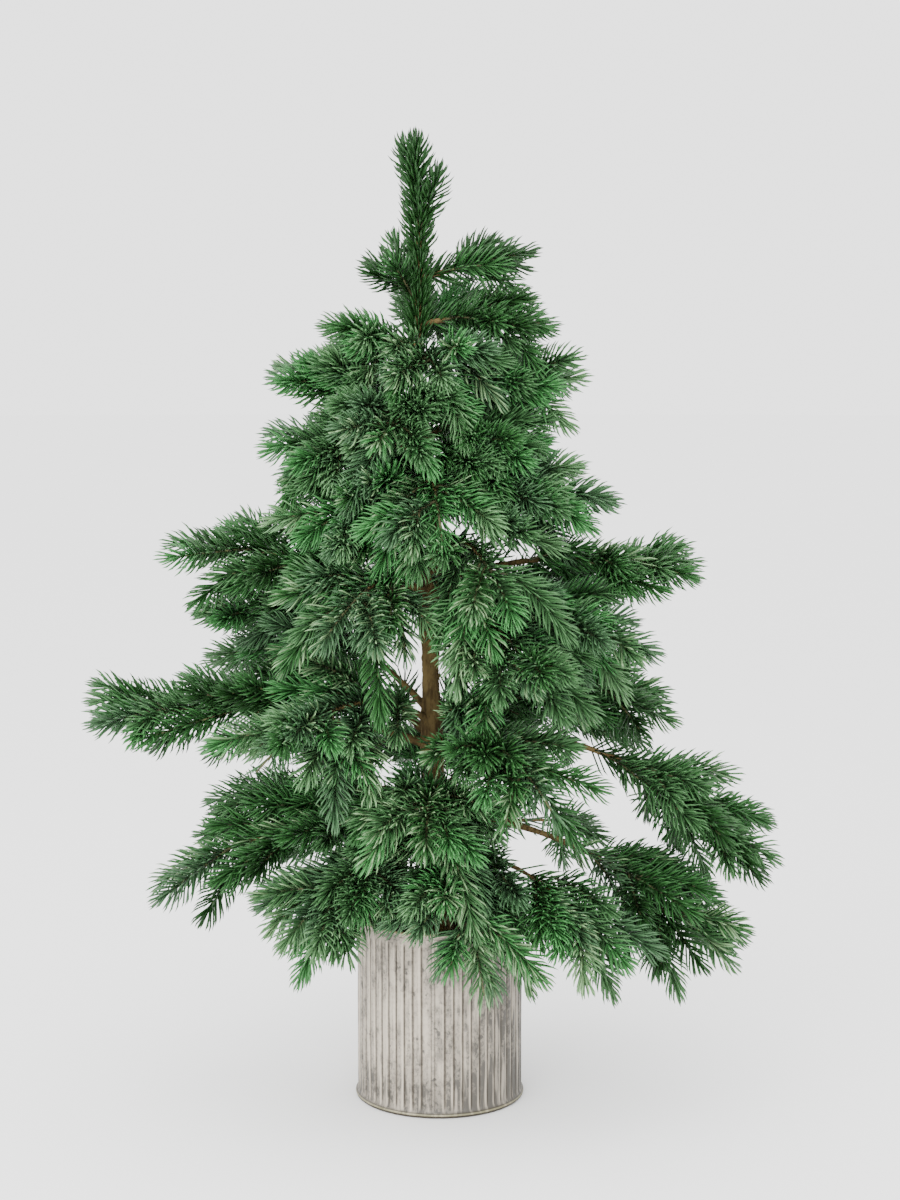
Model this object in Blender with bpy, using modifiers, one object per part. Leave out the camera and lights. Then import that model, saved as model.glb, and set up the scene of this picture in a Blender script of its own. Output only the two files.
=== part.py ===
"""Small artificial pine tree standing in a ribbed metal bucket.

Metres, +Z up. The origin is the centre of the bucket's underside and the front faces -Y.
Azimuths are degrees from +X, counter-clockwise seen from above, so 270 points to the front.
"""
import math
from collections import namedtuple
from random import Random

import bmesh
import bpy
from mathutils import Matrix, Vector
from mathutils.bvhtree import BVHTree
from mathutils.kdtree import KDTree

COLLECTION = "potted_pine_tree"
UP = Vector((0.0, 0.0, 1.0))
GAP = 0.0004                    # clearance between neighbouring pieces

# ---- bucket -------------------------------------------------------------
BUCKET_HEIGHT = 0.192
BUCKET_RADIUS = 0.0862          # over the flat bands between the grooves
BUCKET_WALL = 0.0024
FOOT_RADIUS = 0.0882            # the folded seam round the bottom
FOOT_HEIGHT = 0.006
RIM_ROLL = 0.0020               # radius of the rolled edge
RIB_COUNT = 56
GROOVE_DEPTH = 0.0013
GROOVE_HALF_ANGLE = math.radians(1.05)
GROOVE_TOP, GROOVE_BOTTOM = 0.181, 0.012
COLUMNS_PER_RIB = 3
FILL_TOP = 0.175

# ---- trunk --------------------------------------------------------------
# height, sideways x, sideways y of the trunk's centre line
TRUNK_LINE = (
    (0.175, -0.002, 0.000), (0.310, -0.006, 0.002), (0.420, -0.009, 0.000),
    (0.500, -0.010, -0.002), (0.590, -0.004, 0.002), (0.660, -0.012, 0.000),
    (0.760, -0.022, 0.000), (0.870, -0.020, 0.000),
)
TRUNK_TIP = 0.870
TRUNK_SIDES = 12
TRUNK_RADIUS, TRUNK_TIP_RADIUS = 0.0125, 0.0032
FLARE, FLARE_HEIGHT = 0.0030, 0.020

# ---- boughs and their foliage -------------------------------------------
Bough = namedtuple("Bough", "name height azimuth reach rise arch bare shoots seed")
LEADER = Bough("leader", 0.870, 250, 0.012, 0.112, 0.000, 0.00, 2, 14)
BOUGHS = (
    # name, height on the trunk, azimuth, reach, rise, arch, bare share, side shoots, seed
    Bough("top_left", 0.820, 172, 0.025, 0.050, 0.000, 0.10, 1, 5),
    Bough("top_right", 0.850, 8, 0.100, 0.015, 0.006, 0.08, 2, 8),
    Bough("high_right_a", 0.805, 348, 0.125, 0.000, 0.006, 0.10, 3, 2),
    Bough("high_left_a", 0.785, 186, 0.070, -0.010, 0.006, 0.08, 3, 13),
    Bough("high_front_a", 0.775, 284, 0.105, -0.025, 0.008, 0.08, 3, 13),
    Bough("high_back_a", 0.790, 80, 0.095, 0.035, 0.006, 0.08, 3, 16),
    Bough("high_right_b", 0.725, 4, 0.155, 0.025, 0.010, 0.13, 4, 2),
    Bough("high_left_b", 0.720, 172, 0.145, 0.030, 0.004, 0.12, 4, 4),
    Bough("high_left_c", 0.675, 192, 0.155, 0.005, 0.010, 0.14, 3, 15),
    Bough("high_front_b", 0.710, 252, 0.135, -0.020, 0.010, 0.11, 4, 4),
    Bough("high_right_c", 0.675, 336, 0.115, 0.005, 0.010, 0.10, 4, 6),
    Bough("high_back_b", 0.685, 58, 0.135, 0.030, 0.010, 0.11, 3, 8),
    Bough("high_back_c", 0.670, 126, 0.140, 0.030, 0.010, 0.12, 3, 12),
    Bough("high_front_c", 0.665, 276, 0.150, -0.070, 0.014, 0.12, 4, 12),
    Bough("mid_right_a", 0.635, 346, 0.160, -0.030, 0.020, 0.15, 4, 13),
    Bough("mid_left_a", 0.620, 214, 0.150, -0.025, 0.016, 0.12, 4, 4),
    Bough("mid_front_a", 0.585, 294, 0.185, -0.060, 0.028, 0.15, 4, 8),
    Bough("mid_back_a", 0.605, 96, 0.170, 0.035, 0.015, 0.15, 3, 8),
    Bough("upper_left", 0.530, 178, 0.260, 0.050, 0.010, 0.23, 4, 15),
    Bough("upper_right", 0.540, 3, 0.260, 0.010, 0.020, 0.22, 4, 11),
    Bough("mid_front_b", 0.545, 238, 0.195, -0.045, 0.028, 0.17, 4, 15),
    Bough("mid_left_b", 0.404, 160, 0.235, 0.091, 0.038, 0.20, 4, 6),
    Bough("mid_right_b", 0.495, 340, 0.230, -0.015, 0.025, 0.21, 4, 13),
    Bough("mid_back_b", 0.490, 104, 0.215, 0.050, 0.020, 0.19, 3, 5),
    Bough("mid_back_c", 0.480, 52, 0.220, 0.025, 0.020, 0.19, 3, 3),
    Bough("mid_front_c", 0.520, 308, 0.205, -0.090, 0.030, 0.17, 5, 10),
    Bough("left", 0.370, 183, 0.340, 0.035, 0.020, 0.30, 5, 4),
    Bough("front_left", 0.395, 226, 0.240, -0.020, 0.040, 0.21, 5, 11),
    Bough("mid_right_c", 0.395, 12, 0.245, 0.010, 0.030, 0.21, 4, 16),
    Bough("right", 0.370, 354, 0.335, -0.115, 0.056, 0.49, 5, 13),
    Bough("front_right", 0.365, 298, 0.250, -0.025, 0.040, 0.22, 4, 1),
    Bough("back_left", 0.375, 140, 0.290, 0.055, 0.046, 0.25, 4, 12),
    Bough("back_right", 0.350, 48, 0.270, 0.010, 0.030, 0.23, 3, 7),
    Bough("back", 0.330, 100, 0.215, -0.010, 0.030, 0.19, 3, 3),
    Bough("low_left", 0.280, 180, 0.285, -0.055, 0.030, 0.25, 4, 15),
    Bough("low_left_back", 0.310, 156, 0.260, -0.020, 0.020, 0.22, 3, 37),
    Bough("low_front_left", 0.260, 224, 0.200, -0.060, 0.030, 0.18, 5, 12),
    Bough("low_front", 0.295, 268, 0.195, 0.010, 0.038, 0.17, 4, 3),
    Bough("low_front_right", 0.265, 284, 0.200, -0.105, 0.045, 0.17, 4, 15),
    Bough("low_right", 0.295, 352, 0.305, -0.140, 0.040, 0.46, 5, 16),
    Bough("low_right_front", 0.260, 320, 0.240, -0.075, 0.030, 0.19, 4, 33),
    Bough("low_back_right", 0.260, 50, 0.275, -0.025, 0.020, 0.24, 3, 13),
    Bough("low_back_left", 0.260, 124, 0.220, -0.025, 0.020, 0.19, 3, 4),
)
LIMB_REACH = 0.245              # boughs this long have a bare limb of their own
LIMB_SIDES = 6
LIMB_STATIONS = 5
SHOOT_TOP, SHOOT_LOW = 0.056, 0.090     # side shoots lengthen from the top down
SHOOT_TOP_HEIGHT, SHOOT_LOW_HEIGHT = 0.87, 0.54
SHOOT_BARE = 0.012

# the trunk shows through here: sideways, and height less the slope towards the front
OPENING_SIDE, OPENING_HEIGHT, OPENING_SLOPE = (-0.045, 0.022), (0.385, 0.520), 0.15

# ---- needles ------------------------------------------------------------
BAND = 0.034                    # length of shoot that one ring of needles stands on
NEEDLE_OUT, NEEDLE_FORWARD = 0.0190, 0.0190
NEEDLE_TIP = 0.018              # how far the last needle stands past the shoot
STEM_RADIUS, SHOOT_RADIUS, TIP_RADIUS = 0.0032, 0.0024, 0.0015
AXIS_STEP = 0.005
SHOOT_CLEARANCE = 0.011         # between the centre lines of two shoots
NEEDLE_MARGIN = 0.0009
LENGTHS = (1.0, 0.8, 0.6)

COLORS = {
    "foliage": ((0.035, 0.130, 0.045), 0.60, 0.0),
    "wood": ((0.190, 0.105, 0.050), 0.85, 0.0),
    "bucket": ((0.560, 0.535, 0.500), 0.55, 0.6),
    "fill": ((0.060, 0.038, 0.020), 0.95, 0.0),
}


# ---- growth rule ---------------------------------------------------------
def mix(a, b, share):
    return a + (b - a) * share


def trunk_line(z):
    """Centre of the trunk at height z."""
    for low, high in zip(TRUNK_LINE, TRUNK_LINE[1:]):
        if z <= high[0]:
            break
    share = min(1.0, max(0.0, (z - low[0]) / (high[0] - low[0])))
    return Vector((mix(low[1], high[1], share), mix(low[2], high[2], share), z))


def trunk_radius(z):
    share = (z - FILL_TOP) / (TRUNK_TIP - FILL_TOP)
    flare = FLARE * max(0.0, 1 - (z - FILL_TOP) / FLARE_HEIGHT) ** 2
    return mix(TRUNK_RADIUS, TRUNK_TIP_RADIUS, share) + flare


def outward(bough):
    a = math.radians(bough.azimuth)
    return Vector((math.cos(a), math.sin(a), 0.0))


def bough_point(bough, t):
    """The bough's centre line, from the trunk's centre at t = 0 to its tip at t = 1."""
    lift = bough.rise * t + bough.arch * 4 * t * (1 - t)
    return trunk_line(bough.height) + outward(bough) * bough.reach * t + UP * lift


def bough_heading(bough, t):
    return (bough_point(bough, t + 0.01) - bough_point(bough, t - 0.01)).normalized()


def bough_length(bough, steps=20):
    points = [bough_point(bough, i / steps) for i in range(steps + 1)]
    return sum((q - p).length for p, q in zip(points, points[1:]))


def shoot_length(bough):
    share = (SHOOT_TOP_HEIGHT - bough.height) / (SHOOT_TOP_HEIGHT - SHOOT_LOW_HEIGHT)
    return mix(SHOOT_TOP, SHOOT_LOW, min(1.0, max(0.0, share)))


def fan_angle(bough):
    if bough is LEADER:
        return 26
    return 38 if bough.height > 0.8 else 44 - 34 * max(0.0, bough.reach - 0.16)


def before_trunk(point):
    """True in the opening that leaves the bare stretch of the trunk in view."""
    return (point.y < 0 and OPENING_SIDE[0] < point.x < OPENING_SIDE[1]
            and OPENING_HEIGHT[0] < point.z + OPENING_SLOPE * point.y < OPENING_HEIGHT[1])


def side_shoots(bough):
    """Shoots on alternate sides of the bough, as (root, heading, length, bend)."""
    rng = Random(bough.seed * 31)
    length = bough_length(bough)
    first = bough.bare + SHOOT_BARE / length
    last = 1 - 0.55 * shoot_length(bough) / length
    across = outward(bough).cross(UP)
    shoots = []
    for k in range(bough.shoots):
        share = (k + 0.35) / bough.shoots
        t = mix(first, last, share)
        heading = bough_heading(bough, t)
        over = across.cross(heading)
        side = 1 if (k + bough.seed) % 2 else -1
        tilt = math.radians(rng.uniform(-22, 32))
        fan = math.radians(fan_angle(bough) + rng.uniform(-7, 7))
        reach = shoot_length(bough) * (1.1 - 0.32 * share) * rng.uniform(0.92, 1.08)
        away = across * side * math.cos(tilt) + over * math.sin(tilt)
        direction = (heading * math.cos(fan) + away * math.sin(fan)).normalized()
        shoots.append((bough_point(bough, t), direction, reach, heading * 0.16 - UP * 0.10))
    return shoots


# ---- lines and the space round them --------------------------------------
class Line:
    """A smooth centre line measured by its length in metres."""

    def __init__(self, points):
        self.points = points
        self.marks = [0.0]
        for p, q in zip(points, points[1:]):
            self.marks.append(self.marks[-1] + (q - p).length)
        self.length = self.marks[-1]

    def at(self, s):
        k = 0
        while k < len(self.marks) - 2 and s > self.marks[k + 1]:
            k += 1
        share = (s - self.marks[k]) / (self.marks[k + 1] - self.marks[k])
        return self.points[k].lerp(self.points[k + 1], share)

    def heading(self, s):
        step = 0.002
        return (self.at(min(s + step, self.length)) - self.at(max(s - step, 0.0))).normalized()

    def samples(self, start=0.0):
        count = max(2, int((self.length - start) / AXIS_STEP))
        return [self.at(mix(start, self.length, i / (count - 1))) for i in range(count)]


def bough_line(bough, first=0.0, last=1.0, steps=24):
    return Line([bough_point(bough, mix(first, last, i / steps)) for i in range(steps + 1)])


def shoot_line(shoot, share=1.0, steps=8):
    root, heading, length, bend = shoot
    reach = length * share
    return Line([root + heading * d + bend * d * d / length
                 for d in (reach * i / steps for i in range(steps + 1))])


def line_frame(heading, side_hint):
    """Two directions square to the heading, the first near the hint."""
    across = (side_hint - heading * side_hint.dot(heading)).normalized()
    return across, heading.cross(across)


class Space:
    """Every centre line in the tree, to keep each mass out of its neighbours' room."""

    def __init__(self):
        self.points, self.owners = [], []
        self.wood, self.wood_radii = [], []

    def add_line(self, points, owner):
        self.points.extend(points)
        self.owners.extend([owner] * len(points))

    def add_wood(self, line, radius):
        for i in range(max(2, int(line.length / AXIS_STEP))):
            s = min(i * AXIS_STEP, line.length)
            self.wood.append(line.at(s))
            self.wood_radii.append(radius(s))

    def settle(self):
        self.tree = build_tree(self.points)
        self.wood_tree = build_tree(self.wood)

    def nearest_other(self, point, owner, within):
        best = within
        for _, index, distance in self.tree.find_range(point, within):
            if self.owners[index] != owner:
                best = min(best, distance)
        return best

    def clears_wood(self, point, margin):
        for _, index, distance in self.wood_tree.find_range(point, TRUNK_RADIUS + FLARE + margin):
            if distance < self.wood_radii[index] + margin:
                return False
        return clears_bucket(point, margin)


def build_tree(points):
    tree = KDTree(len(points))
    for i, point in enumerate(points):
        tree.insert(point, i)
    tree.balance()
    return tree


def clears_bucket(point, margin):
    return (point.z > BUCKET_HEIGHT + margin
            or math.hypot(point.x, point.y) > FOOT_RADIUS + RIM_ROLL + margin)


# ---- meshes --------------------------------------------------------------
def tree_collection():
    """The collection that holds every finished piece."""
    found = bpy.data.collections.get(COLLECTION)
    if found is None:
        found = bpy.data.collections.new(COLLECTION)
        bpy.context.scene.collection.children.link(found)
    return found


def new_object(name, bm, kind, collection=None, smooth=False):
    mesh = bpy.data.meshes.new(name)
    bm.normal_update()
    bm.to_mesh(mesh)
    bm.free()
    if smooth:
        mesh.shade_smooth()
        mesh.set_sharp_from_angle(angle=math.radians(50))
    obj = bpy.data.objects.new(name, mesh)
    (collection or tree_collection()).objects.link(obj)
    obj.data.materials.append(material(name, kind))
    return obj


def material(name, kind):
    color, roughness, metallic = COLORS[kind]
    mat = bpy.data.materials.new(name)
    mat.use_nodes = True
    shader = mat.node_tree.nodes["Principled BSDF"]
    shader.inputs["Base Color"].default_value = (*color, 1.0)
    shader.inputs["Roughness"].default_value = roughness
    shader.inputs["Metallic"].default_value = metallic
    mat.diffuse_color = (*color, 1.0)
    return mat


def ring(bm, centre, across, over, radius, sides, turn=0.0):
    verts = []
    for i in range(sides):
        a = 2 * math.pi * i / sides + turn
        verts.append(bm.verts.new(centre + (across * math.cos(a) + over * math.sin(a)) * radius))
    return verts


def tapered_limb(line, radius, sides, marks, hint=UP):
    """A closed round limb with a ring at each mark along the line, its ends cut square."""
    bm = bmesh.new()
    rings = []
    for s in marks:
        across, over = line_frame(line.heading(s), hint)
        rings.append(ring(bm, line.at(s), across, over, radius(s), sides))
    for low, high in zip(rings, rings[1:]):
        for i in range(sides):
            j = (i + 1) % sides
            bm.faces.new((low[i], low[j], high[j], high[i]))
    bm.faces.new(rings[0][::-1])
    bm.faces.new(rings[-1])
    return bm


def height_over(surface, point):
    """Distance from the point to the surface, negative inside."""
    place, normal, _, distance = surface.find_nearest(point)
    return math.copysign(distance, (point - place).dot(normal))


def clear_start(line, radius, surface):
    """How far along the line its square-cut end first clears the trunk's surface."""
    s = 0.0
    while s < line.length / 2:
        across, over = line_frame(line.heading(s), UP)
        rim = [line.at(s) + (across * math.cos(a) + over * math.sin(a)) * radius
               for a in (math.pi * k / 6 for k in range(12))]
        if min(height_over(surface, p) for p in rim) > GAP:
            return s
        s += 0.00025
    raise RuntimeError("line never clears the trunk")


# ---- foliage -------------------------------------------------------------
class Shoot:
    """A slim three-sided core that needles stand out of."""

    def __init__(self, mass, line, root_radius, start, bare, is_stem):
        self.mass, self.line, self.root_radius = mass, line, root_radius
        self.start, self.bare, self.is_stem = start, bare, is_stem

    def stations(self):
        """Ring places: one where the needles begin, then one for each band."""
        first = self.bare
        bands = max(1, round((self.line.length - first) / BAND))
        marks = [mix(first, self.line.length, i / bands) for i in range(bands + 1)]
        return [self.start] + marks

    def radius(self, s):
        if not self.is_stem and s == self.start:
            return self.root_radius * 0.6
        return mix(self.root_radius, TIP_RADIUS, s / self.line.length)


def build_shoot(shoot, space):
    """The core's rings turn by 60 degrees, so each of its faces can rise to a needle."""
    bm = bmesh.new()
    marks = shoot.stations()
    rings = []
    for i, s in enumerate(marks):
        across, over = line_frame(shoot.line.heading(s), UP)
        rings.append(ring(bm, shoot.line.at(s), across, over, shoot.radius(s), 3,
                          math.pi / 3 * (i % 2)))
    for band, (low, high) in enumerate(zip(rings, rings[1:])):
        shift = band % 2
        for i in range(3):
            # the upper ring's corner that lies between lower corners i and i + 1
            between = (i + (1 if shift else 0)) % 3
            following = (between + 1) % 3
            j = (i + 1) % 3
            triangles = ((low[i], low[j], high[between]), (low[j], high[following], high[between]))
            for corners in triangles:
                if band == 0 or not raise_needle(bm, corners, shoot, space):
                    bm.faces.new(corners)
    bm.faces.new(rings[0][::-1])
    end, heading = shoot.line.at(shoot.line.length), shoot.line.heading(shoot.line.length)
    reach = next((heading * NEEDLE_TIP * size for size in LENGTHS + (0.3,)
                  if needle_fits(end, heading * NEEDLE_TIP * size, shoot, space)),
                 heading * TIP_RADIUS)
    tip = bm.verts.new(end + reach)
    for i in range(3):
        bm.faces.new((rings[-1][i], rings[-1][(i + 1) % 3], tip))
    return bm


def raise_needle(bm, corners, shoot, space):
    """Pull the face's middle out and forward, as far as the shoot's own room allows."""
    centre = sum((v.co for v in corners), Vector()) / 3
    s = nearest_mark(shoot.line, centre)
    heading = shoot.line.heading(s)
    out = centre - shoot.line.at(s)
    out = (out - heading * out.dot(heading)).normalized()
    for size in LENGTHS:
        reach = out * NEEDLE_OUT * size + heading * NEEDLE_FORWARD * size
        if needle_fits(centre, reach, shoot, space):
            apex = bm.verts.new(centre + reach)
            for a, b in zip(corners, corners[1:] + corners[:1]):
                bm.faces.new((a, b, apex))
            return True
    return False


def needle_fits(centre, reach, shoot, space):
    for share in (0.35, 0.7, 1.0):
        point = centre + reach * share
        margin = NEEDLE_MARGIN + 0.0022 * (1 - share)
        own = min((point - p).length for p in shoot.axis)
        if space.nearest_other(point, shoot, own + margin) < own + margin:
            return False
        if not space.clears_wood(point, margin):
            return False
    return True


def nearest_mark(line, point):
    steps = 40
    marks = [line.length * i / steps for i in range(steps + 1)]
    return min(marks, key=lambda s: (line.at(s) - point).length)


def plan_stems(boughs, trunk_surface, space):
    """Limbs, and the stem of each mass, with their start places."""
    limbs, stems = [], []
    for bough in boughs:
        if bough.reach >= LIMB_REACH:
            line = bough_line(bough, 0.0, bough.bare)
            root = 0.0030 + 0.0060 * bough.reach
            limbs.append((bough, line, root, clear_start(line, root, trunk_surface)))
            space.add_wood(line, lambda s, root=root: root)
            stem_line = bough_line(bough, bough.bare)
            stems.append(Shoot(bough.name, stem_line, STEM_RADIUS, GAP, 0.010, True))
        else:
            stem_line = bough_line(bough)
            start = clear_start(stem_line, STEM_RADIUS, trunk_surface)
            bare = max(start + 0.008, bough_length(bough) * bough.bare)
            stems.append(Shoot(bough.name, stem_line, STEM_RADIUS, start, bare, True))
    return limbs, stems


def plan_shoots(boughs, stems, space):
    """Side shoots that keep clear of every line placed before them."""
    masses = []
    for bough, stem in zip(boughs, stems):
        mass = [stem]
        for shoot in side_shoots(bough):
            for share in (1.0, 0.85, 0.7, 0.55):
                line = shoot_line(shoot, share)
                if any(before_trunk(p) for p in line.samples(SHOOT_BARE)):
                    continue
                if room_for(line, bough.name, space):
                    side = Shoot(bough.name, line, SHOOT_RADIUS, 0.0, SHOOT_BARE, False)
                    space.add_line(line.samples(SHOOT_BARE), side)
                    mass.append(side)
                    break
        masses.append(mass)
    return masses


def room_for(line, name, space):
    """True where the line is clear of all wood and of every shoot but its own stem."""
    for point in line.samples(SHOOT_BARE):
        if not space.clears_wood(point, SHOOT_RADIUS * 2):
            return False
        for other, owner in zip(space.points, space.owners):
            near = (other - point).length < SHOOT_CLEARANCE
            if near and not (owner.is_stem and owner.mass == name):
                return False
    return True


def fuse(name, shoots, space):
    """One solid for each mass: its stem united with the collection of its side shoots."""
    group = bpy.data.collections.new(name + "_shoots")
    bpy.context.scene.collection.children.link(group)
    for i, shoot in enumerate(shoots[1:]):
        new_object(f"{name}_shoot_{i}", build_shoot(shoot, space), "foliage", group)
    stem = new_object(name, build_shoot(shoots[0], space), "foliage")
    if group.objects:
        union = stem.modifiers.new("shoots", "BOOLEAN")
        union.operation = "UNION"
        union.operand_type = "COLLECTION"
        union.collection = group
        union.solver = "MANIFOLD"
        apply_modifiers(stem)
    for obj in list(group.objects):
        bpy.data.objects.remove(obj)
    bpy.data.collections.remove(group)
    keep_main_body(stem)
    return stem


def apply_modifiers(obj):
    shaped = obj.evaluated_get(bpy.context.evaluated_depsgraph_get())
    mesh = bpy.data.meshes.new_from_object(shaped)
    mesh.name = obj.name
    obj.modifiers.clear()
    obj.data = mesh


def keep_main_body(obj):
    """Drop loose scraps and sealed hollows that the union may leave."""
    bm = bmesh.new()
    bm.from_mesh(obj.data)
    bodies, seen = [], set()
    for face in bm.faces:
        if face in seen:
            continue
        body, edge = set(), [face]
        while edge:
            f = edge.pop()
            if f not in body:
                body.add(f)
                edge.extend(g for e in f.edges for g in e.link_faces if g not in body)
        seen |= body
        bodies.append(body)
    main = max(bodies, key=len)
    bmesh.ops.delete(bm, geom=[f for f in bm.faces if f not in main], context="FACES")
    bmesh.ops.remove_doubles(bm, verts=bm.verts, dist=1e-6)
    bm.to_mesh(obj.data)
    bm.free()


# ---- bucket --------------------------------------------------------------
def bucket_profile():
    """Half section, from the middle of the floor, up the inside and down the outside."""
    inner = BUCKET_RADIUS - BUCKET_WALL
    roll = (BUCKET_RADIUS - RIM_ROLL / 2, BUCKET_HEIGHT - RIM_ROLL)
    rim = [(roll[0] + RIM_ROLL * math.cos(a), roll[1] + RIM_ROLL * math.sin(a))
           for a in (math.radians(d) for d in (150, 90, 30, -30))]
    return ([(0.0, BUCKET_WALL), (inner, BUCKET_WALL), (inner, rim[0][1] - 0.002)] + rim
            + [(BUCKET_RADIUS, rim[-1][1] - 0.001), (BUCKET_RADIUS, GROOVE_TOP),
               (BUCKET_RADIUS, GROOVE_BOTTOM), (BUCKET_RADIUS, FOOT_HEIGHT + 0.0015),
               (FOOT_RADIUS, FOOT_HEIGHT), (FOOT_RADIUS, 0.0), (0.0, 0.0)])


def spin_profile(name, profile, steps):
    """Turn a half section round the Z axis with a Screw modifier."""
    bm = bmesh.new()
    verts = [bm.verts.new((r, 0.0, z)) for r, z in profile]
    for a, b in zip(verts, verts[1:]):
        bm.edges.new((a, b))
    obj = new_object(name, bm, name)
    screw = obj.modifiers.new("turn", "SCREW")
    screw.steps = screw.render_steps = steps
    screw.use_merge_vertices = True
    screw.merge_threshold = 0.00005
    screw.use_smooth_shade = False
    apply_modifiers(obj)
    return obj


def build_bucket():
    steps = RIB_COUNT * COLUMNS_PER_RIB
    obj = spin_profile("bucket", bucket_profile(), steps)
    bm = bmesh.new()
    bm.from_mesh(obj.data)
    for vert in bm.verts:
        if math.hypot(vert.co.x, vert.co.y) > 0.001:
            shape_groove(vert)
    spare = [e for e in bm.edges if joins_spare_columns(e)]
    bmesh.ops.dissolve_edges(bm, edges=spare, use_verts=True)
    bmesh.ops.triangulate(bm, faces=[f for f in bm.faces if len(f.verts) > 4])
    bmesh.ops.recalc_face_normals(bm, faces=bm.faces)
    bm.to_mesh(obj.data)
    bm.free()
    return obj


def column_of(vert):
    turn = math.atan2(vert.co.y, vert.co.x) / (2 * math.pi)
    return round(turn * RIB_COUNT * COLUMNS_PER_RIB) % (RIB_COUNT * COLUMNS_PER_RIB)


def in_grooves(vert):
    return GROOVE_BOTTOM - 0.001 < vert.co.z < GROOVE_TOP + 0.001 \
        and math.hypot(vert.co.x, vert.co.y) > BUCKET_RADIUS - 0.0018


def shape_groove(vert):
    """Columns go groove, band edge, band edge; only the groove's column sinks in."""
    rib, place = divmod(column_of(vert), COLUMNS_PER_RIB)
    pitch = 2 * math.pi / RIB_COUNT
    angle = rib * pitch + (0.0, GROOVE_HALF_ANGLE, pitch - GROOVE_HALF_ANGLE)[place]
    radius = math.hypot(vert.co.x, vert.co.y)
    if place == 0 and in_grooves(vert):
        radius -= GROOVE_DEPTH
    vert.co.x, vert.co.y = radius * math.cos(angle), radius * math.sin(angle)


def joins_spare_columns(edge):
    """Upright edges between the grooves, outside the grooved stretch."""
    a, b = edge.verts
    if min(math.hypot(v.co.x, v.co.y) for v in (a, b)) < 0.001:
        return nearest_column(a if a.co.length > b.co.length else b) != 0
    if nearest_column(a) != nearest_column(b) or angle_between(a, b) > 0.004:
        return False
    return nearest_column(a) != 0 and not (in_grooves(a) and in_grooves(b))


def angle_between(a, b):
    return abs((Vector((a.co.x, a.co.y)).angle_signed(Vector((b.co.x, b.co.y)))))


def nearest_column(vert):
    """0 on a groove's own column, 1 or 2 on the edges of a band."""
    pitch = 2 * math.pi / RIB_COUNT
    turn = math.atan2(vert.co.y, vert.co.x) % pitch
    places = (0.0, GROOVE_HALF_ANGLE, pitch - GROOVE_HALF_ANGLE, pitch)
    return min(range(4), key=lambda i: abs(turn - places[i])) % 3


def build_fill():
    """A plug with the same number of sides as the bucket's inside."""
    inner = BUCKET_RADIUS - BUCKET_WALL - 2 * GAP
    floor = BUCKET_WALL + GAP
    bm = bmesh.new()
    bmesh.ops.create_cone(bm, cap_ends=True, segments=RIB_COUNT, radius1=inner, radius2=inner,
                          depth=FILL_TOP - floor,
                          matrix=Matrix.Translation((0, 0, (FILL_TOP + floor) / 2)))
    return new_object("fill", bm, "fill", smooth=True)


# ---- assembly ------------------------------------------------------------
def clear_scene():
    for obj in list(bpy.data.objects):
        bpy.data.objects.remove(obj)


def build_trunk():
    """The trunk bends only at its stations, so its line is drawn through the same heights."""
    base = FILL_TOP + GAP
    bends = [z for z, _, _ in TRUNK_LINE if base < z < TRUNK_TIP] + [TRUNK_TIP]
    heights = [base, base + FLARE_HEIGHT / 2, base + FLARE_HEIGHT] + bends
    line = Line([trunk_line(z) for z in heights])
    bm = tapered_limb(line, lambda s: trunk_radius(line.at(s).z), TRUNK_SIDES, line.marks,
                      hint=Vector((1, 0, 0)))
    for vert in bm.verts:
        if vert.co.z < base + FLARE_HEIGHT / 4:     # the foot is cut level with the fill
            vert.co.z = base
    obj = new_object("trunk", bm, "wood", smooth=True)
    surface = bmesh.new()
    surface.from_mesh(obj.data)
    return line, BVHTree.FromBMesh(surface)


def build_limb(bough, line, root, start):
    marks = [mix(start, line.length, i / (LIMB_STATIONS - 1)) for i in range(LIMB_STATIONS)]
    bm = tapered_limb(line, lambda s: mix(root, STEM_RADIUS, s / line.length), LIMB_SIDES, marks)
    return new_object("limb_" + bough.name, bm, "wood", smooth=True)


def main():
    clear_scene()
    build_bucket()
    build_fill()
    trunk, surface = build_trunk()
    boughs = (LEADER,) + BOUGHS
    space = Space()
    space.add_wood(trunk, lambda s: trunk_radius(trunk.at(s).z))
    limbs, stems = plan_stems(boughs, surface, space)
    for stem in stems:
        space.add_line(stem.line.samples(stem.start), stem)
    space.settle()
    masses = plan_shoots(boughs, stems, space)
    space.settle()
    for shoot in (s for mass in masses for s in mass):
        shoot.axis = shoot.line.samples(shoot.start)
    for limb in limbs:
        build_limb(*limb)
    for bough, mass in zip(boughs, masses):
        fuse("foliage_" + bough.name, mass, space)


main()
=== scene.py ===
"""Looks of a small artificial pine tree that stands in a ribbed zinc bucket.

Metres, +Z up, and the front faces -Y. Azimuths are degrees from +X, counter-clockwise
seen from above, so 270 points to the front.
"""
import math
from collections import namedtuple
from random import Random

import bmesh
import bpy
from bpy.props import FloatProperty, FloatVectorProperty, IntProperty, PointerProperty
from mathutils import Matrix, Vector, noise


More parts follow.
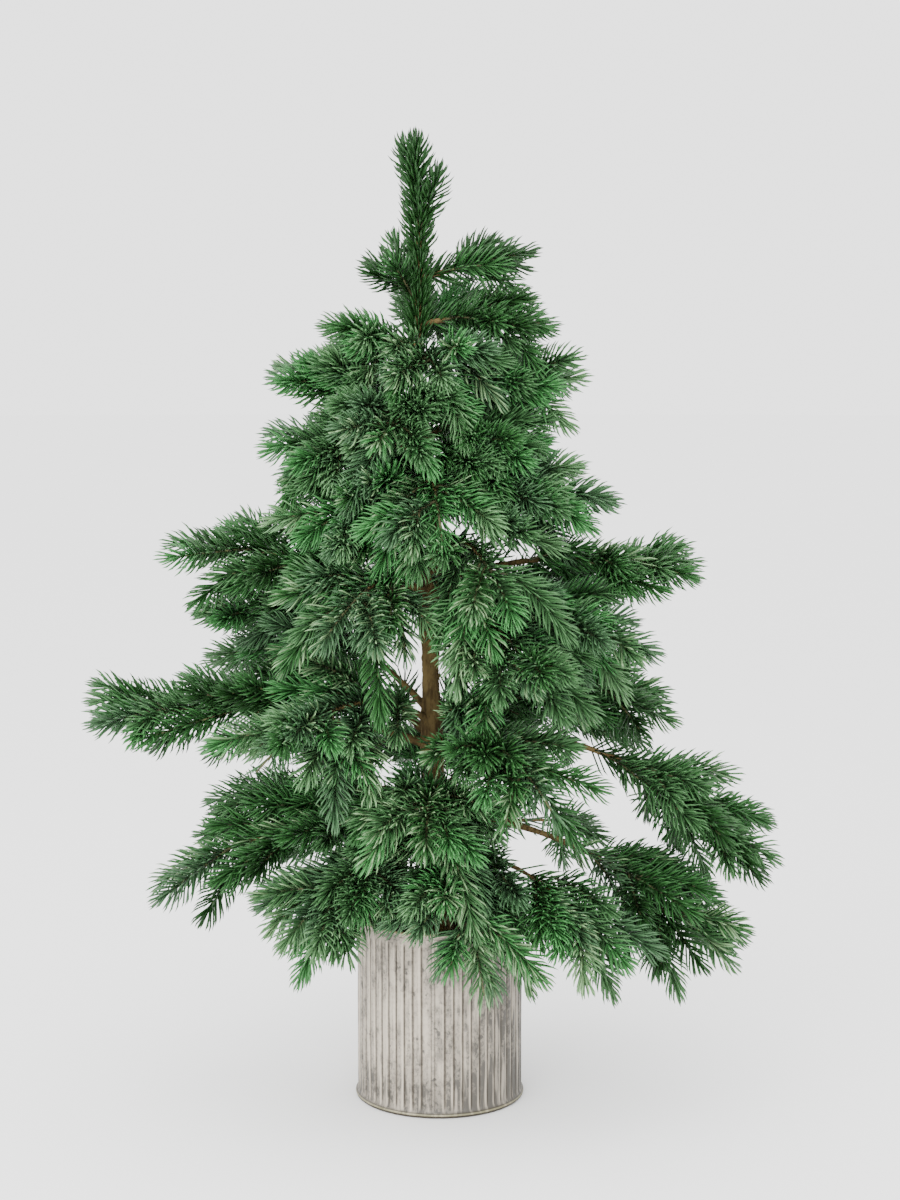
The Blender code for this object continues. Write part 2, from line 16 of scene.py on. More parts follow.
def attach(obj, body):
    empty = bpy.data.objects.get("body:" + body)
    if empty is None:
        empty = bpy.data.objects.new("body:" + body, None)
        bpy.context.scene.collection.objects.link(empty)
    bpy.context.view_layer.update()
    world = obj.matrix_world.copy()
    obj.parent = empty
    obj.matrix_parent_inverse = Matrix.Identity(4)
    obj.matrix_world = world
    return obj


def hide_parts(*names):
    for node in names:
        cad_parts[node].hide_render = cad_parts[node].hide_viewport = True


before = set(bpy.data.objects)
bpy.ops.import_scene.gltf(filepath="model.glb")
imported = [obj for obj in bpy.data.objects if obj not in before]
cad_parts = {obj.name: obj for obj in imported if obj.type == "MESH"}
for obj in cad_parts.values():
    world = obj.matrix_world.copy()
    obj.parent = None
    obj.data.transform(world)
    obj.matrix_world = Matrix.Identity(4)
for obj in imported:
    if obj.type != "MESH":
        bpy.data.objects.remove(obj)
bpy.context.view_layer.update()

bl_info = {
    "name": "Potted Pine Tree",
    "version": (1, 0, 0),
    "blender": (4, 5, 0),
    "location": "3D Viewport > Sidebar > Pine",
    "description": "Grows bark, twigs and needles over a packed pine tree and weathers its zinc bucket",
    "category": "Add Mesh",
}

UP = Vector((0.0, 0.0, 1.0))
SIDEWAYS = Vector((1.0, 0.0, 0.0))
NODES = sorted(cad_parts)

# ---- bucket and fill ------------------------------------------------------
BUCKET_HEIGHT, BUCKET_RADIUS, BUCKET_WALL = 0.192, 0.0862, 0.0024
FOOT_RADIUS = 0.0882
RIM_ROLL = 0.0020
GROOVES = 56
FIRST_GROOVE, LAST_GROOVE = 273.84, 617.84      # azimuths, once round from seam to seam
GROOVE_TOP, GROOVE_WAVER = 0.1800, 0.0035       # the grooves end at uneven heights
GROOVE_WIDTH, SEAM_WIDTH = 0.68, 0.30           # degrees
GROOVE_FADE, FADE_BELOW = 0.006, 0.004          # a groove dies out over this, from below its top
GROOVE_OFFSETS = (-1.35, -0.85, -0.42, 0.0, 0.42, 0.85, 1.35)
SEAM_LINES = (264.6, 267.0)                     # the wall laps over itself between these
SEAM_OFFSETS = (-0.7, -0.35, 0.0, 0.35, 0.7)
SEAM_DEPTH, SEAM_LAP = 0.0005, 0.0004
WIDEST_COLUMN = 1.3
HIGHLIGHT_PLACE, HIGHLIGHT_WIDTH = 1.1, 0.45                # degrees beside a groove, for a painted highlight along one side of it
GROOVE_HIGHLIGHT, SEAM_DIRT_AND_SHADE = 0.8, 0.75                  # strongest painted highlight; the seam's grime and painted shade, against that in the grooves
BAND_WIDTH, BAND_CROWN = 3.1, 0.00028           # the bands between the grooves are domed
DENT_DEPTH = 0.00022
# half section of the foot: out from its radius, height, how much the grooves show, and how much
# edge colour it takes as a painted highlight on the bead's top, where a number below 0 is painted
# shade under the bead and in the crease above it
FOOT_SECTION = (
    (-0.0030, 0.0, 0, -1), (-0.0012, 0.0, 0, -1), (-0.0002, 0.0008, 0, -1), (0.0, 0.0022, 0, -1),
    (0.0004, 0.0028, 0, 0.5), (0.0003, 0.0038, 0, 0.5), (-0.0005, 0.0045, 0, -0.9),
    (-0.0012, 0.0053, 0.1, -0.3),
)
EVEN_ROWS, ROW_STEPS = (0.0130, 0.1700), 14     # lowest and highest of the wall's even rows
HIGH_ROWS = (0.1725, 0.1745, 0.1765, 0.1785, 0.1805, 0.1825)    # closer, where grooves end
INNER_ROWS = (0.1870, 0.1800, 0.1700, 0.1200, 0.0600, BUCKET_WALL)
# dark marks under the rim: a painted shadow of the hem's lower edge, broken into dashes
HEM_SHADOW_LOW, HEM_SHADOW_HIGH = BUCKET_HEIGHT - 0.0064, BUCKET_HEIGHT - 0.0056
HEM_SHADOWS_LEFT = 0.72                               # the share of them that shows
FILL_TOP, FILL_CLEARANCE, FLOOR_CLEARANCE = 0.175, 0.0006, 0.0004
SOIL_RINGS, SOIL_SIDES = 26, 96
SOIL_SINK, SOIL_ROUGHNESS = 0.0012, 0.0026

# ---- trunk ----------------------------------------------------------------
# height, sideways x, sideways y of the trunk's centre line
TRUNK_LINE = (
    (0.175, -0.002, 0.000), (0.310, -0.006, 0.002), (0.420, -0.009, 0.000),
    (0.500, -0.010, -0.002), (0.590, -0.004, 0.002), (0.660, -0.012, 0.000),
    (0.760, -0.022, 0.000), (0.870, -0.020, 0.000),
)
TRUNK_TIP = 0.870
CLOTHED_TRUNK = 0.782                           # needles grow on the trunk above here
TRUNK_RADIUS, TRUNK_TIP_RADIUS = 0.0125, 0.0032
FLARE, FLARE_HEIGHT = 0.0030, 0.020

# ---- boughs ---------------------------------------------------------------
Bough = namedtuple("Bough", "name height azimuth reach rise arch bare shoots seed")
LEADER = Bough("leader", 0.870, 250, 0.012, 0.112, 0.000, 0.00, 2, 14)
BOUGHS = (
    # name, height on the trunk, azimuth, reach, rise, arch, bare share, side shoots, seed
    Bough("top_left", 0.820, 172, 0.025, 0.050, 0.000, 0.10, 1, 5),
    Bough("top_right", 0.850, 8, 0.100, 0.015, 0.006, 0.08, 2, 8),
    Bough("high_right_a", 0.805, 348, 0.125, 0.000, 0.006, 0.10, 3, 2),
    Bough("high_left_a", 0.785, 186, 0.070, -0.010, 0.006, 0.08, 3, 13),
    Bough("high_front_a", 0.775, 284, 0.105, -0.025, 0.008, 0.08, 3, 13),
    Bough("high_back_a", 0.790, 80, 0.095, 0.035, 0.006, 0.08, 3, 16),
    Bough("high_right_b", 0.725, 4, 0.155, 0.025, 0.010, 0.13, 4, 2),
    Bough("high_left_b", 0.720, 172, 0.145, 0.030, 0.004, 0.12, 4, 4),
    Bough("high_left_c", 0.675, 192, 0.155, 0.005, 0.010, 0.14, 3, 15),
    Bough("high_front_b", 0.710, 252, 0.135, -0.020, 0.010, 0.11, 4, 4),
    Bough("high_right_c", 0.675, 336, 0.115, 0.005, 0.010, 0.10, 4, 6),
    Bough("high_back_b", 0.685, 58, 0.135, 0.030, 0.010, 0.11, 3, 8),
    Bough("high_back_c", 0.670, 126, 0.140, 0.030, 0.010, 0.12, 3, 12),
    Bough("high_front_c", 0.665, 276, 0.150, -0.070, 0.014, 0.12, 4, 12),
    Bough("mid_right_a", 0.635, 346, 0.160, -0.030, 0.020, 0.15, 4, 13),
    Bough("mid_left_a", 0.620, 214, 0.150, -0.025, 0.016, 0.12, 4, 4),
    Bough("mid_front_a", 0.585, 294, 0.185, -0.060, 0.028, 0.15, 4, 8),
    Bough("mid_back_a", 0.605, 96, 0.170, 0.035, 0.015, 0.15, 3, 8),
    Bough("upper_left", 0.530, 178, 0.260, 0.050, 0.010, 0.23, 4, 15),
    Bough("upper_right", 0.540, 3, 0.260, 0.010, 0.020, 0.22, 4, 11),
    Bough("mid_front_b", 0.545, 238, 0.195, -0.045, 0.028, 0.17, 4, 15),
    Bough("mid_left_b", 0.404, 160, 0.235, 0.091, 0.038, 0.20, 4, 6),
    Bough("mid_right_b", 0.495, 340, 0.230, -0.015, 0.025, 0.21, 4, 13),
    Bough("mid_back_b", 0.490, 104, 0.215, 0.050, 0.020, 0.19, 3, 5),
    Bough("mid_back_c", 0.480, 52, 0.220, 0.025, 0.020, 0.19, 3, 3),
    Bough("mid_front_c", 0.520, 308, 0.205, -0.090, 0.030, 0.17, 5, 10),
    Bough("left", 0.370, 183, 0.340, 0.035, 0.020, 0.30, 5, 4),
    Bough("front_left", 0.395, 226, 0.240, -0.020, 0.040, 0.21, 5, 11),
    Bough("mid_right_c", 0.395, 12, 0.245, 0.010, 0.030, 0.21, 4, 16),
    Bough("right", 0.370, 354, 0.335, -0.115, 0.056, 0.49, 5, 13),
    Bough("front_right", 0.365, 298, 0.250, -0.025, 0.040, 0.22, 4, 1),
    Bough("back_left", 0.375, 140, 0.290, 0.055, 0.046, 0.25, 4, 12),
    Bough("back_right", 0.350, 48, 0.270, 0.010, 0.030, 0.23, 3, 7),
    Bough("back", 0.330, 100, 0.215, -0.010, 0.030, 0.19, 3, 3),
    Bough("low_left", 0.280, 180, 0.285, -0.055, 0.030, 0.25, 4, 15),
    Bough("low_left_back", 0.310, 156, 0.260, -0.020, 0.020, 0.22, 3, 37),
    Bough("low_front_left", 0.260, 224, 0.200, -0.060, 0.030, 0.18, 5, 12),
    Bough("low_front", 0.295, 268, 0.195, 0.010, 0.038, 0.17, 4, 3),
    Bough("low_front_right", 0.265, 284, 0.200, -0.105, 0.045, 0.17, 4, 15),
    Bough("low_right", 0.295, 352, 0.305, -0.140, 0.040, 0.46, 5, 16),
    Bough("low_right_front", 0.260, 320, 0.240, -0.075, 0.030, 0.19, 4, 33),
    Bough("low_back_right", 0.260, 50, 0.275, -0.025, 0.020, 0.24, 3, 13),
    Bough("low_back_left", 0.260, 124, 0.220, -0.025, 0.020, 0.19, 3, 4),
)
CROWN_HEIGHT, FAR_REACH = 0.80, 0.24            # boughs past these make the outline
LONG_BARE = 0.35                                # long limbs are bare for more than this share

# ---- shoots ---------------------------------------------------------------
SHOOT_TOP, SHOOT_LOW = 0.056, 0.090             # side shoots lengthen from the top down
SHOOT_TOP_HEIGHT, SHOOT_LOW_HEIGHT = 0.87, 0.54
SHOOT_BARE, TWIG_BARE = 0.010, 0.008
FAN, CROWN_FAN, LEADER_FAN = 44, 38, 22         # degrees between a shoot and its bough
FAN_REACH, FAN_CLOSING = 0.16, 34               # and how it closes on boughs past this reach
MAIN_LENGTH, MAIN_TAPER = 1.10, 0.32            # of the usual length, and less near the tip
FINE_LENGTH, FINE_TAPER = 1.02, 0.34
MAIN_ONWARD, MAIN_DROOP = 0.16, 0.10            # how shoots bend, along the bough and down
FINE_ONWARD, FINE_DROOP, HANGING_DROOP = 0.14, 0.20, 0.55
INNER_DROOP, TWIG_BEND = 0.18, 0.16
FIRST_SHOOT, SHOOTLESS_TIP = 0.012, 0.55        # metres, and share of a shoot's length
EXTRA_FINE = 2                                  # finer shoots, more than main ones
FORKS = (0.24, 0.42)                            # twigs leave a shoot within these shares of it
# how far shoots stray: tilt and fan angle in degrees, and share of the usual length
Stray = namedtuple("Stray", "tilt fan length")
MAIN_STRAY = Stray((-22, 32), (-7, 7), (0.92, 1.08))
FINE_STRAY = Stray((-14, 14), (-4, 10), (0.86, 1.08))
INNER_STRAY = Stray((-75, 75), (36, 62), (0.040, 0.064))        # length in metres
TWIG_STRAY = Stray((-30, 30), (32, 44), (0.52, 0.72))
FINE_TILTS = (8, 46, -30, 28, -50)              # finer shoots stand out of the flat spray
STEEP_TILT, STEEP_DROOP = 0.5, 0.35             # past this tilt, in radians, the droop left
INNER_SHARE = 0.62                              # they begin nearer to the trunk
FRONT_REACH, HANGING_FAN = 0.12, 14             # and hang longer and wider in front
LONG_HANGING = 0.25                             # but not on long limbs
INNER_TOP, FACING_TOP = 0.56, 0.37              # no twigs on the bare part of boughs above
INNER_TWIGS = 4
FORKING_LENGTH = 0.062                          # shoots this long carry twigs
TWIG_MISSING = 0.52                             # share of the twigs that isn't there
SHORTEST_SHOOT = 0.030
INNER_FULLNESS = 0.55                           # needles left on the innermost twigs
SPARE_FULLNESS = 0.80                           # and on the crown and the long boughs
# nothing hangs before the bare trunk here: sideways, lowest, highest, half its width
TRUNK_VIEW = (-0.013, 0.390, 0.478, 0.008)
# light, or the bucket, shows here, seen from the front: sideways, height, radius
GAPS = (
    (-0.052, 0.824, 0.006), (-0.133, 0.716, 0.007),
    (0.017, 0.601, 0.005), (0.072, 0.571, 0.005), (-0.034, 0.543, 0.001),
    (0.204, 0.514, 0.008), (-0.044, 0.452, 0.007), (-0.049, 0.346, 0.008),
    (-0.190, 0.350, 0.008), (0.080, 0.262, 0.017), (0.098, 0.298, 0.006),
    (-0.020, 0.100, 0.034), (0.056, 0.058, 0.046),
)
GAP_CLEARANCE, GAP_EDGE = 0.012, 0.026          # shoots stop, and needles begin to thin
EYE = Vector((0.011, -2.237, 0.767))            # where the tree is seen from
BUCKET_CLEARANCE = 0.004                        # between shoots and the bucket
LIMB_PREFIX, MASS_PREFIX = "limb_", "foliage_"

# ---- wood -----------------------------------------------------------------
TRUNK_SUNK = 0.004                              # the bark goes this far into the fill
TRUNK_RINGS, TRUNK_SIDES = 350, 44
COLLAR_HEIGHT, COLLAR_SWELL = 0.011, 0.10
FULL_BARK_RADIUS = 0.006                        # thinner wood has shallower bark
LIMB_STEP, LIMB_SIDES = 0.0036, 10
LIMB_ROOT, LIMB_ROOT_GROWTH = 0.0026, 0.0060    # radius, and what each metre of reach adds
LIMB_TIP, LIMB_FLARE, LIMB_FLARE_LENGTH = 0.0016, 0.0016, 0.010
LIMB_RELIEF = 0.75                              # of the trunk's
HIDDEN_WOOD, WOOD_END = 0.45, 0.92              # limbs go on into the needles by this share
STEM_RADIUS, STEM_TIP, TWIG_TAPER = 0.0024, 0.0010, 0.55
FURROWS, FURROW_SCALE = 0.75, Vector((150, 150, 42))
KNOBS, KNOB_SCALE, KNOB_RARITY = 3.6, 105, 0.22

# ---- needles --------------------------------------------------------------
GOLDEN_ANGLE = 2.39996                          # radians from each needle to the next
TIP_ZONE = 0.020                                # where needles close up into a brush
TIP_LENGTH = 0.72                               # share of its length that a needle has there
SPIN_STRAY, LEAN_STRAY = 0.25, 0.09             # radians either way
LENGTH_STRAY = (0.86, 1.06)
FOOT_SHARE = 0.58                               # of the thickness, as the foot's radius
MIDDLE_SWELL, MIDDLE_LIFT = 0.90, 0.28          # keep a needle wide until near its end
LINE_STEP = 0.007                               # between the points of a line
TRIANGLES_PER_NEEDLE = 10
TRIANGLES_PER_PIECE = 165000
NeedleLine = namedtuple("NeedleLine", "bough share points left shares sizes")
LEADER_NEEDLES = 0.92                           # of the others' length
TIP_CUT = 0.022                                 # length of a tip in another green
# each green takes the shoots whose draw, from 0 to 1, is below its number
# the crown and the far boughs, which make the outline, draw mostly dark and deep greens as painted
# shade
CROWN_GREENS = (("dark", 0.66), ("deep", 0.86), ("middle", 1.0))
FAR_GREENS = (("dark", 0.24), ("deep", 0.66), ("middle", 0.94), ("blue", 1.0))
NEAR_GREENS = (("deep", 0.16), ("middle", 0.54), ("blue", 0.80), ("fresh", 1.0))
NEXT_GREEN = {"dark": "deep", "deep": "middle", "middle": "fresh", "blue": "light",
              "fresh": "light"}
CHANGED_TIPS, CROWN_CHANGED_TIPS = 0.26, 0.10   # share of shoots that end in the next green
FACING = (205, 335)                             # azimuths of the boughs that face the front
FACING_HIGHLIGHTED, HIGHLIGHTED = 0.38, 0.12            # share of shoots with pale needles, painted highlights, more on boughs facing the front lights
HIGHLIGHT_SHARE = (0.16, 0.34)                            # share of pale needles on those, a painted highlight

# ---- stage ----------------------------------------------------------------
MIDDLE = Vector((0.0, 0.0, 0.5))
CAMERA_PLACE, CAMERA_PITCH = (0.0109, -2.237, 0.767), 6.24      # degrees down
FLOOR_RADIUS = 30.0
# place and width of each soft light
SOFT_LIGHTS = {"key": ((-1.6, -2.3, 1.6), 2.2), "front": ((-0.3, -2.9, 1.0), 2.2),
               "top": ((0.0, -0.3, 2.6), 1.6)}


# ---- settings -------------------------------------------------------------
def length(name, description, default):
    return FloatProperty(name=name, description=description, default=default, min=0.0,
                         precision=4, unit="LENGTH", subtype="DISTANCE")


def color(name, description, default):
    return FloatVectorProperty(name=name, description=description, default=default,
                               size=3, min=0.0, max=1.0, subtype="COLOR")


class NeedleSettings(bpy.types.PropertyGroup):
    needle_length: length("Length", "Length of a full needle", 0.0315)
    thickness: length("Thickness", "Width of a needle where it is widest", 0.0019)
    bow: length("Bow", "How far a needle bends on its way out", 0.0012)
    spacing: length("Spacing", "Length of shoot for each needle", 0.00077)
    lean: FloatProperty(name="Lean", description="Angle between a needle and its shoot",
                        default=math.radians(43), subtype="ANGLE")
    # the dark and deep greens that the crown and the outline take are painted shade
    dark: color("Dark green", "The crown and the ends of some long boughs", (0.014, 0.050, 0.012))
    deep: color("Deep green", "Sprays at the sides and in the shade", (0.028, 0.098, 0.026))
    middle: color("Middle green", "Most sprays", (0.047, 0.122, 0.043))
    blue: color("Blue green", "Cooler sprays", (0.050, 0.116, 0.051))
    fresh: color("Fresh green", "Young tufts and tips", (0.048, 0.176, 0.050))
    light: color("Light green", "The palest tips", (0.090, 0.198, 0.080))
    # pale needles mixed in among the others, to paint highlights on the glossy needles
    frost: color("Frosted green", "Pale needles among the others", (0.165, 0.280, 0.132))


class WoodSettings(bpy.types.PropertyGroup):
    relief: length("Bark relief", "Depth of the bark's ridges", 0.0011)
    bark: color("Bark", "Ridges of the bark", (0.110, 0.078, 0.029))
    furrow: color("Furrows", "Deep parts of the bark", (0.044, 0.028, 0.010))
    twig: color("Twigs", "Thin wood under the needles", (0.052, 0.052, 0.018))
    twig_radius: length("Twig radius", "Radius of a shoot where it leaves its bough", 0.0015)
    twig_sides: IntProperty(name="Twig sides", description="Flat sides of a twig",
                            default=5, min=3, max=12)


class BucketSettings(bpy.types.PropertyGroup):
    groove_depth: length("Groove depth", "Depth of the pressed grooves", 0.0013)
    wash: color("Wash", "Chalky coating on the zinc", (0.315, 0.276, 0.220))
    zinc: color("Zinc", "Grey metal where the coating is worn", (0.062, 0.056, 0.046))
    # groove colour: grime and painted shade in the grooves and seam, painted shade under the foot and
    # in the hem marks
    groove: color("Grooves", "Dirt in the grooves", (0.024, 0.018, 0.010))
    # edge colour: wear on the rim, and a painted highlight on the foot's bead
    edge: color("Edge", "Worn rolled edge", (0.260, 0.240, 0.120))
    soil: color("Fill", "Soil round the trunk", (0.050, 0.030, 0.014))


class StageSettings(bpy.types.PropertyGroup):
    backdrop: color("Backdrop", "Floor and surroundings", (1.0, 1.0, 1.0))
    key: FloatProperty(name="Key light", description="Power of the main soft light",
                       default=56.0, min=0.0, unit="POWER")
    front: FloatProperty(name="Front light", description="Power of the soft light in front",
                         default=96.0, min=0.0, unit="POWER")
    top: FloatProperty(name="Top light", description="Power of the overhead soft light",
                       default=10.0, min=0.0, unit="POWER")
    ambient: FloatProperty(name="Ambient", description="Strength of the even light all round",
                           default=2.6, min=0.0)
    focal_length: FloatProperty(name="Focal length", description="Lens of the camera",
                                default=65.34, min=1.0, unit="CAMERA")


# ---- growth rule ----------------------------------------------------------
def mix(a, b, share):
    return a + (b - a) * share


def smooth(share):
    share = min(1.0, max(0.0, share))
    return share * share * (3 - 2 * share)


def bell(distance, width):
    """1 at no distance, and falling off over the width."""
    return math.exp(-(distance / width) ** 2)


def trunk_line(z):
    """Centre of the trunk at height z."""
    for low, high in zip(TRUNK_LINE, TRUNK_LINE[1:]):
        if z <= high[0]:
            break
    share = min(1.0, max(0.0, (z - low[0]) / (high[0] - low[0])))
    return Vector((mix(low[1], high[1], share), mix(low[2], high[2], share), z))


def trunk_radius(z):
    share = (z - FILL_TOP) / (TRUNK_TIP - FILL_TOP)
    flare = FLARE * max(0.0, 1 - (z - FILL_TOP) / FLARE_HEIGHT) ** 2
    return mix(TRUNK_RADIUS, TRUNK_TIP_RADIUS, share) + flare


def outward(bough):
    a = math.radians(bough.azimuth)
    return Vector((math.cos(a), math.sin(a), 0.0))


def bough_point(bough, t):
    """The bough's centre line, from the trunk's centre at t = 0 to its tip at t = 1."""
    lift = bough.rise * t + bough.arch * 4 * t * (1 - t)
    return trunk_line(bough.height) + outward(bough) * bough.reach * t + UP * lift


def bough_heading(bough, t):
    return (bough_point(bough, t + 0.01) - bough_point(bough, t - 0.01)).normalized()


def bough_length(bough, steps=20):
    points = [bough_point(bough, i / steps) for i in range(steps + 1)]
    return sum((q - p).length for p, q in zip(points, points[1:]))


def shoot_length(bough):
    share = (SHOOT_TOP_HEIGHT - bough.height) / (SHOOT_TOP_HEIGHT - SHOOT_LOW_HEIGHT)
    return mix(SHOOT_TOP, SHOOT_LOW, min(1.0, max(0.0, share)))


def fan_angle(bough):
    if bough is LEADER:
        return LEADER_FAN
    if bough.height > CROWN_HEIGHT:
        return CROWN_FAN
    return FAN - FAN_CLOSING * max(0.0, bough.reach - FAN_REACH)


Shoot = namedtuple("Shoot", "root heading length bend bare fullness", defaults=(1.0,))


def strayed(rng, stray):
    return [rng.uniform(*limits) for limits in stray]


def branch_off(root, heading, across, side, tilt, fan, reach, bend, bare=SHOOT_BARE):
    """A shoot that leaves its stem at the fan angle, tilted out of the flat spray."""
    tilt, fan = math.radians(tilt), math.radians(fan)
    over = across.cross(heading)
    away = across * side * math.cos(tilt) + over * math.sin(tilt)
    direction = (heading * math.cos(fan) + away * math.sin(fan)).normalized()
    return Shoot(root, direction, reach, bend, bare)


def side_shoots(bough):
    """The main shoots on alternate sides of the bough."""
    rng = Random(bough.seed * 31)
    first, last = needled_share(bough)
    across = outward(bough).cross(UP)
    shoots = []
    for k in range(bough.shoots):
        share = (k + 0.35) / bough.shoots
        t = mix(first, last, share)
        heading = bough_heading(bough, t)
        side = 1 if (k + bough.seed) % 2 else -1
        tilt, fan, change = strayed(rng, MAIN_STRAY)
        reach = shoot_length(bough) * (MAIN_LENGTH - MAIN_TAPER * share) * change
        bend = heading * MAIN_ONWARD - UP * MAIN_DROOP
        shoots.append(branch_off(bough_point(bough, t), heading, across, side, tilt,
                                 fan_angle(bough) + fan, reach, bend))
    return shoots


def needled_share(bough):
    """The first and last share of the bough that a side shoot leaves from."""
    whole = bough_length(bough)
    return bough.bare + FIRST_SHOOT / whole, 1 - SHOOTLESS_TIP * shoot_length(bough) / whole


def finer_shoots(bough):
    """More shoots between the main ones, that also stand above and below the spray."""
    rng = Random(bough.seed * 31 + 977)
    first, last = needled_share(bough)
    if bough.bare < LONG_BARE:
        first *= INNER_SHARE
    across = outward(bough).cross(UP)
    front = max(0.0, -outward(bough).y)
    hanging = LONG_HANGING if bough.bare > LONG_BARE else front
    droop = FINE_DROOP + HANGING_DROOP * hanging
    count = bough.shoots + EXTRA_FINE
    shoots = []
    for k in range(count):
        share = (k + 0.8) / (count + 0.3)
        t = mix(first, last, share)
        heading = bough_heading(bough, t)
        side = -1 if (k + bough.seed) % 2 else 1
        tilt, fan, change = strayed(rng, FINE_STRAY)
        tilt += FINE_TILTS[k % len(FINE_TILTS)]
        fan += fan_angle(bough) + HANGING_FAN * hanging
        reach = shoot_length(bough) * (FINE_LENGTH - FINE_TAPER * share) * change
        reach *= 1 + FRONT_REACH * front
        hang = droop * (STEEP_DROOP if math.radians(tilt) > STEEP_TILT else 1.0)
        shoots.append(branch_off(bough_point(bough, t), heading, across, side, tilt, fan, reach,
                                 heading * FINE_ONWARD - UP * hang))
    return shoots


def inner_twigs(bough):
    """Short thin twigs on the bare part of the lower limbs, but not before the trunk."""
    facing = outward(bough).y < -0.45 and bough.height > FACING_TOP
    if bough.height > INNER_TOP or facing or bough.bare > LONG_BARE:
        return []
    rng = Random(bough.seed * 31 + 4021)
    across = outward(bough).cross(UP)
    found = []
    for k in range(INNER_TWIGS):
        t = bough.bare * mix(0.25, 1.0, (k + 0.6 * rng.random()) / INNER_TWIGS)
        side = 1 if k % 2 else -1
        twig = branch_off(bough_point(bough, t), bough_heading(bough, t), across, side,
                          *strayed(rng, INNER_STRAY), -UP * INNER_DROOP, TWIG_BARE)
        found.append(twig._replace(fullness=INNER_FULLNESS))
    return found


def shoot_point(shoot, d):
    return shoot.root + shoot.heading * d + shoot.bend * d * d / shoot.length


def twigs(shoots, seed):
    """A pair of short twigs on each long shoot, some of them missing."""
    rng = Random(seed * 57 + 5)
    found = []
    for shoot in shoots:
        if shoot.length < FORKING_LENGTH:
            continue
        for side in (1, -1):
            if rng.random() < TWIG_MISSING:
                continue
            d = shoot.length * rng.uniform(*FORKS)
            heading = (shoot.heading + shoot.bend * 2 * d / shoot.length).normalized()
            across = heading.cross(UP).normalized()
            tilt, fan, share = strayed(rng, TWIG_STRAY)
            found.append(branch_off(shoot_point(shoot, d), heading, across, side, tilt, fan,
                                    shoot.length * share, (heading - UP) * TWIG_BEND,
                                    TWIG_BARE))
    return found


def in_bucket(point):
    return (point.z < BUCKET_HEIGHT + BUCKET_CLEARANCE
            and math.hypot(point.x, point.y) < FOOT_RADIUS + BUCKET_CLEARANCE)


def beyond_gaps(point):
    """How far outside the nearest gap the point is, seen from the front."""
    nearer = EYE.y / (EYE.y - point.y)
    x, z = mix(EYE.x, point.x, nearer), mix(EYE.z, point.z, nearer)
    nearest = min(math.hypot(x - gap_x, z - gap_z) - radius for gap_x, gap_z, radius in GAPS)
    if point.y < 0:
        trunk_x, low, high, radius = TRUNK_VIEW
        nearest = min(nearest, math.hypot(x - trunk_x, z - min(high, max(low, z))) - radius)
    return nearest


def stopped_at_gap(shoot, steps=16):
    """The shoot, or as much of it as comes before a gap, or None if that is too little."""
    for k in range(steps + 1):
        share = k / steps
        if beyond_gaps(shoot_point(shoot, shoot.length * share)) < GAP_CLEARANCE:
            if shoot.length * share < SHORTEST_SHOOT:
                return None
            return shoot._replace(length=shoot.length * share, bend=shoot.bend * share)
    return shoot


def grow(bough):
    """Every shoot of the bough that keeps clear of the bucket and of the gaps."""
    main = side_shoots(bough)
    if bough is not LEADER:
        main += finer_shoots(bough)
    kept = []
    for shoot in main + twigs(main, bough.seed) + inner_twigs(bough):
        points = [shoot_point(shoot, shoot.length * k / 8) for k in range(1, 9)]
        if not any(map(in_bucket, points)):
            kept.append(stopped_at_gap(shoot))
    return [shoot for shoot in kept if shoot]


# ---- lines ----------------------------------------------------------------
def line_points(at, start, end):
    """Points along a path from start to end, and how far along it each one is."""
    steps = max(2, round((end - start) / LINE_STEP))
    marks = [mix(start, end, i / steps) for i in range(steps + 1)]
    return [at(s) for s in marks], marks


# A path is a function that gives its points, where its needles start and end, and how many
# of them are left.
def stem_path(bough):
    whole = bough_length(bough)
    return (lambda s: bough_point(bough, s / whole)), whole * bough.bare, whole, 1.0


def trunk_top_path():
    return trunk_line, CLOTHED_TRUNK, TRUNK_TIP, 1.0


def shoot_path(shoot):
    return (lambda s: shoot_point(shoot, s)), shoot.bare, shoot.length, shoot.fullness


def line_mesh(name, lines, fields=()):
    """Edges for many open lines, whose points each keep a number in every named field."""
    points, edges = [], []
    numbers = {field: [] for field in fields}
    for line, *values in lines:
        first = len(points)
        points += line
        edges += [(i, i + 1) for i in range(first, len(points) - 1)]
        for field, value in zip(fields, values):
            numbers[field] += value
    mesh = bpy.data.meshes.new(name)
    mesh.from_pydata(points, edges, [])
    for field in fields:
        layer = mesh.attributes.new(field, "FLOAT", "POINT")
        layer.data.foreach_set("value", numbers[field])
    obj = bpy.data.objects.new(name, mesh)
    bpy.context.scene.collection.objects.link(obj)
    return obj


# ---- node trees -----------------------------------------------------------
def add(tree, kind, inputs=None, **values):
    """A node with its options set, and its inputs linked or given."""
    node = tree.nodes.new(kind)
    for key, value in values.items():
        setattr(node, key, value)
    for key, value in (inputs or {}).items():
        if isinstance(value, bpy.types.NodeSocket):
            tree.links.new(value, node.inputs[key])
        else:
            node.inputs[key].default_value = value
    return node


def math_node(tree, operation, *values):
    node = add(tree, "ShaderNodeMath", dict(enumerate(values)), operation=operation)
    return node.outputs[0]


def times(tree, first, second):
    return math_node(tree, "MULTIPLY", first, second)


def plus(tree, value, factor, start):
    """start, and factor times the value on top."""
    return math_node(tree, "MULTIPLY_ADD", value, factor, start)


def vector(tree, **parts):
    return add(tree, "ShaderNodeCombineXYZ", parts).outputs[0]


def parts_of(tree, place):
    return add(tree, "ShaderNodeSeparateXYZ", {0: place}).outputs


